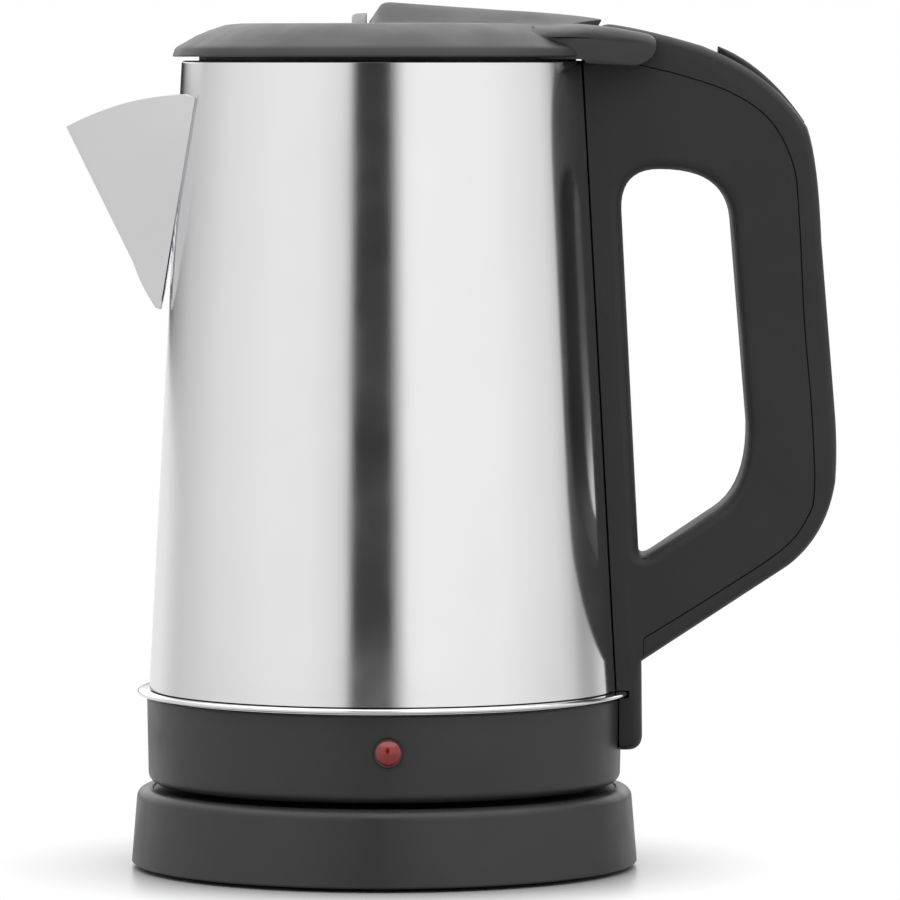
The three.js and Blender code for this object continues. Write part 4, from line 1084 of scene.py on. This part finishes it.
# The light's level round the kettle by compass angle: 0 is the front, positive towards the handle.
# Two broad soft boxes stand to the left and right of a dark gap, and it is dark behind the kettle
# but for the bright backdrop above its foot. A lit ceiling hangs overhead.
PANORAMA = [
    (-180, 0.04), (-160, 0.04), (-152, 0.30), (-128, 0.62), (-95, 0.86), (-60, 0.97), (-38, 0.96),
    (-24, 0.86), (-19, 0.74), (-14.5, 0.035), (3, 0.035), (12, 1.0), (20, 1.05), (62, 1.02),
    (98, 0.84), (107, 0.66), (116, 0.10), (150, 0.05), (179.9, 0.04),
]
BACKDROP = 1.5
OVERHEAD = 1.9

FLOOR_SIZE = 12
FLOOR_FADE = 0.04


def math_node(nodes, operation):
    node = nodes.new("ShaderNodeMath")
    node.operation = operation
    return node


def ranged(nodes, links, source, low, high):
    """0 where the source is low, rising to 1 where it is high."""
    node = nodes.new("ShaderNodeMapRange")
    node.inputs["From Min"].default_value = low
    node.inputs["From Max"].default_value = high
    links.new(source, node.inputs["Value"])
    return node.outputs["Result"]


def blended(nodes, links, share, first, second):
    """first, turned into the second level by share."""
    mix = nodes.new("ShaderNodeMix")
    mix.data_type = "RGBA"
    links.new(share, mix.inputs["Factor"])
    links.new(first, mix.inputs["A"])
    mix.inputs["B"].default_value = (second, second, second, 1)
    return mix.outputs["Result"]


def compass_ramp(nodes, links, parts):
    """The panorama's level for a direction."""
    back = math_node(nodes, "MULTIPLY")
    back.inputs[1].default_value = -1
    links.new(parts.outputs["Y"], back.inputs[0])
    compass = math_node(nodes, "ARCTAN2")
    links.new(parts.outputs["X"], compass.inputs[0])
    links.new(back.outputs[0], compass.inputs[1])
    ramp = nodes.new("ShaderNodeValToRGB")
    links.new(ranged(nodes, links, compass.outputs[0], -math.pi, math.pi), ramp.inputs["Fac"])
    stops = ramp.color_ramp.elements
    stops.remove(stops[1])
    for i, (angle, level) in enumerate(PANORAMA):
        stop = stops[0] if i == 0 else stops.new((angle + 180) / 360)
        stop.position = (angle + 180) / 360
        stop.color = (level, level, level, 1)
    return ramp.outputs["Color"]


def make_light():
    """A studio made in the world: the panorama, the backdrop and the ceiling, white to the camera."""
    world = bpy.data.worlds.new("studio")
    bpy.context.scene.world = world
    world.use_nodes = True
    nodes, links = world.node_tree.nodes, world.node_tree.links
    background = nodes["Background"]
    way = nodes.new("ShaderNodeTexCoord")
    parts = nodes.new("ShaderNodeSeparateXYZ")
    links.new(way.outputs["Generated"], parts.inputs[0])
    room = compass_ramp(nodes, links, parts)
    behind = ranged(nodes, links, parts.outputs["Y"], 0.55, 0.8)
    raised = ranged(nodes, links, parts.outputs["Z"], 0.03, 0.12)
    backdrop = math_node(nodes, "MULTIPLY")
    links.new(behind, backdrop.inputs[0])
    links.new(raised, backdrop.inputs[1])
    walls = blended(nodes, links, backdrop.outputs[0], room, BACKDROP)
    overhead = ranged(nodes, links, parts.outputs["Z"], 0.5, 0.75)
    above = blended(nodes, links, overhead, walls, OVERHEAD)
    rays = nodes.new("ShaderNodeLightPath")
    seen = blended(nodes, links, rays.outputs["Is Camera Ray"], above, 1.0)
    links.new(seen, background.inputs["Color"])
    bpy.context.scene.view_settings.view_transform = "Standard"


def make_floor():
    """A plain pale floor at the height of the rubber feet, fading into the white around it."""
    bpy.ops.object.select_all(action="DESELECT")
    bpy.ops.mesh.primitive_plane_add(size=FLOOR_SIZE, location=(0, 0, FLOOR_Z * MM))
    floor = bpy.context.object
    floor.name = "floor"
    material, shader = new_material("pale_floor", 0.3)
    nodes, links = material.node_tree.nodes, material.node_tree.links
    shader.inputs["Base Color"].default_value = (0.45, 0.45, 0.45, 1)
    glow = nodes.new("ShaderNodeEmission")
    white = nodes.new("ShaderNodeMixShader")
    floor_place = nodes.new("ShaderNodeTexCoord")
    from_middle = nodes.new("ShaderNodeVectorMath")
    from_middle.operation = "LENGTH"
    links.new(floor_place.outputs["Object"], from_middle.inputs[0])
    edge = BASE_R * MM
    far = ranged(nodes, links, from_middle.outputs["Value"], edge, edge + FLOOR_FADE)
    rays = nodes.new("ShaderNodeLightPath")
    share = math_node(nodes, "MULTIPLY")
    links.new(far, share.inputs[0])
    links.new(rays.outputs["Is Camera Ray"], share.inputs[1])
    links.new(share.outputs[0], white.inputs["Fac"])
    links.new(shader.outputs[0], white.inputs[1])
    links.new(glow.outputs[0], white.inputs[2])
    links.new(white.outputs[0], nodes["Material Output"].inputs["Surface"])
    floor.data.materials.append(material)


# ------------------------------------------------------------------ the kettle

make_camera()
make_light()
make_floor()
finish_cad_nodes()
make_base_shell()
make_base_feet()
make_collar()
make_bead()
make_lamp()
make_body()
make_spout()
make_handle()
make_rocker()
make_lid()
make_button()
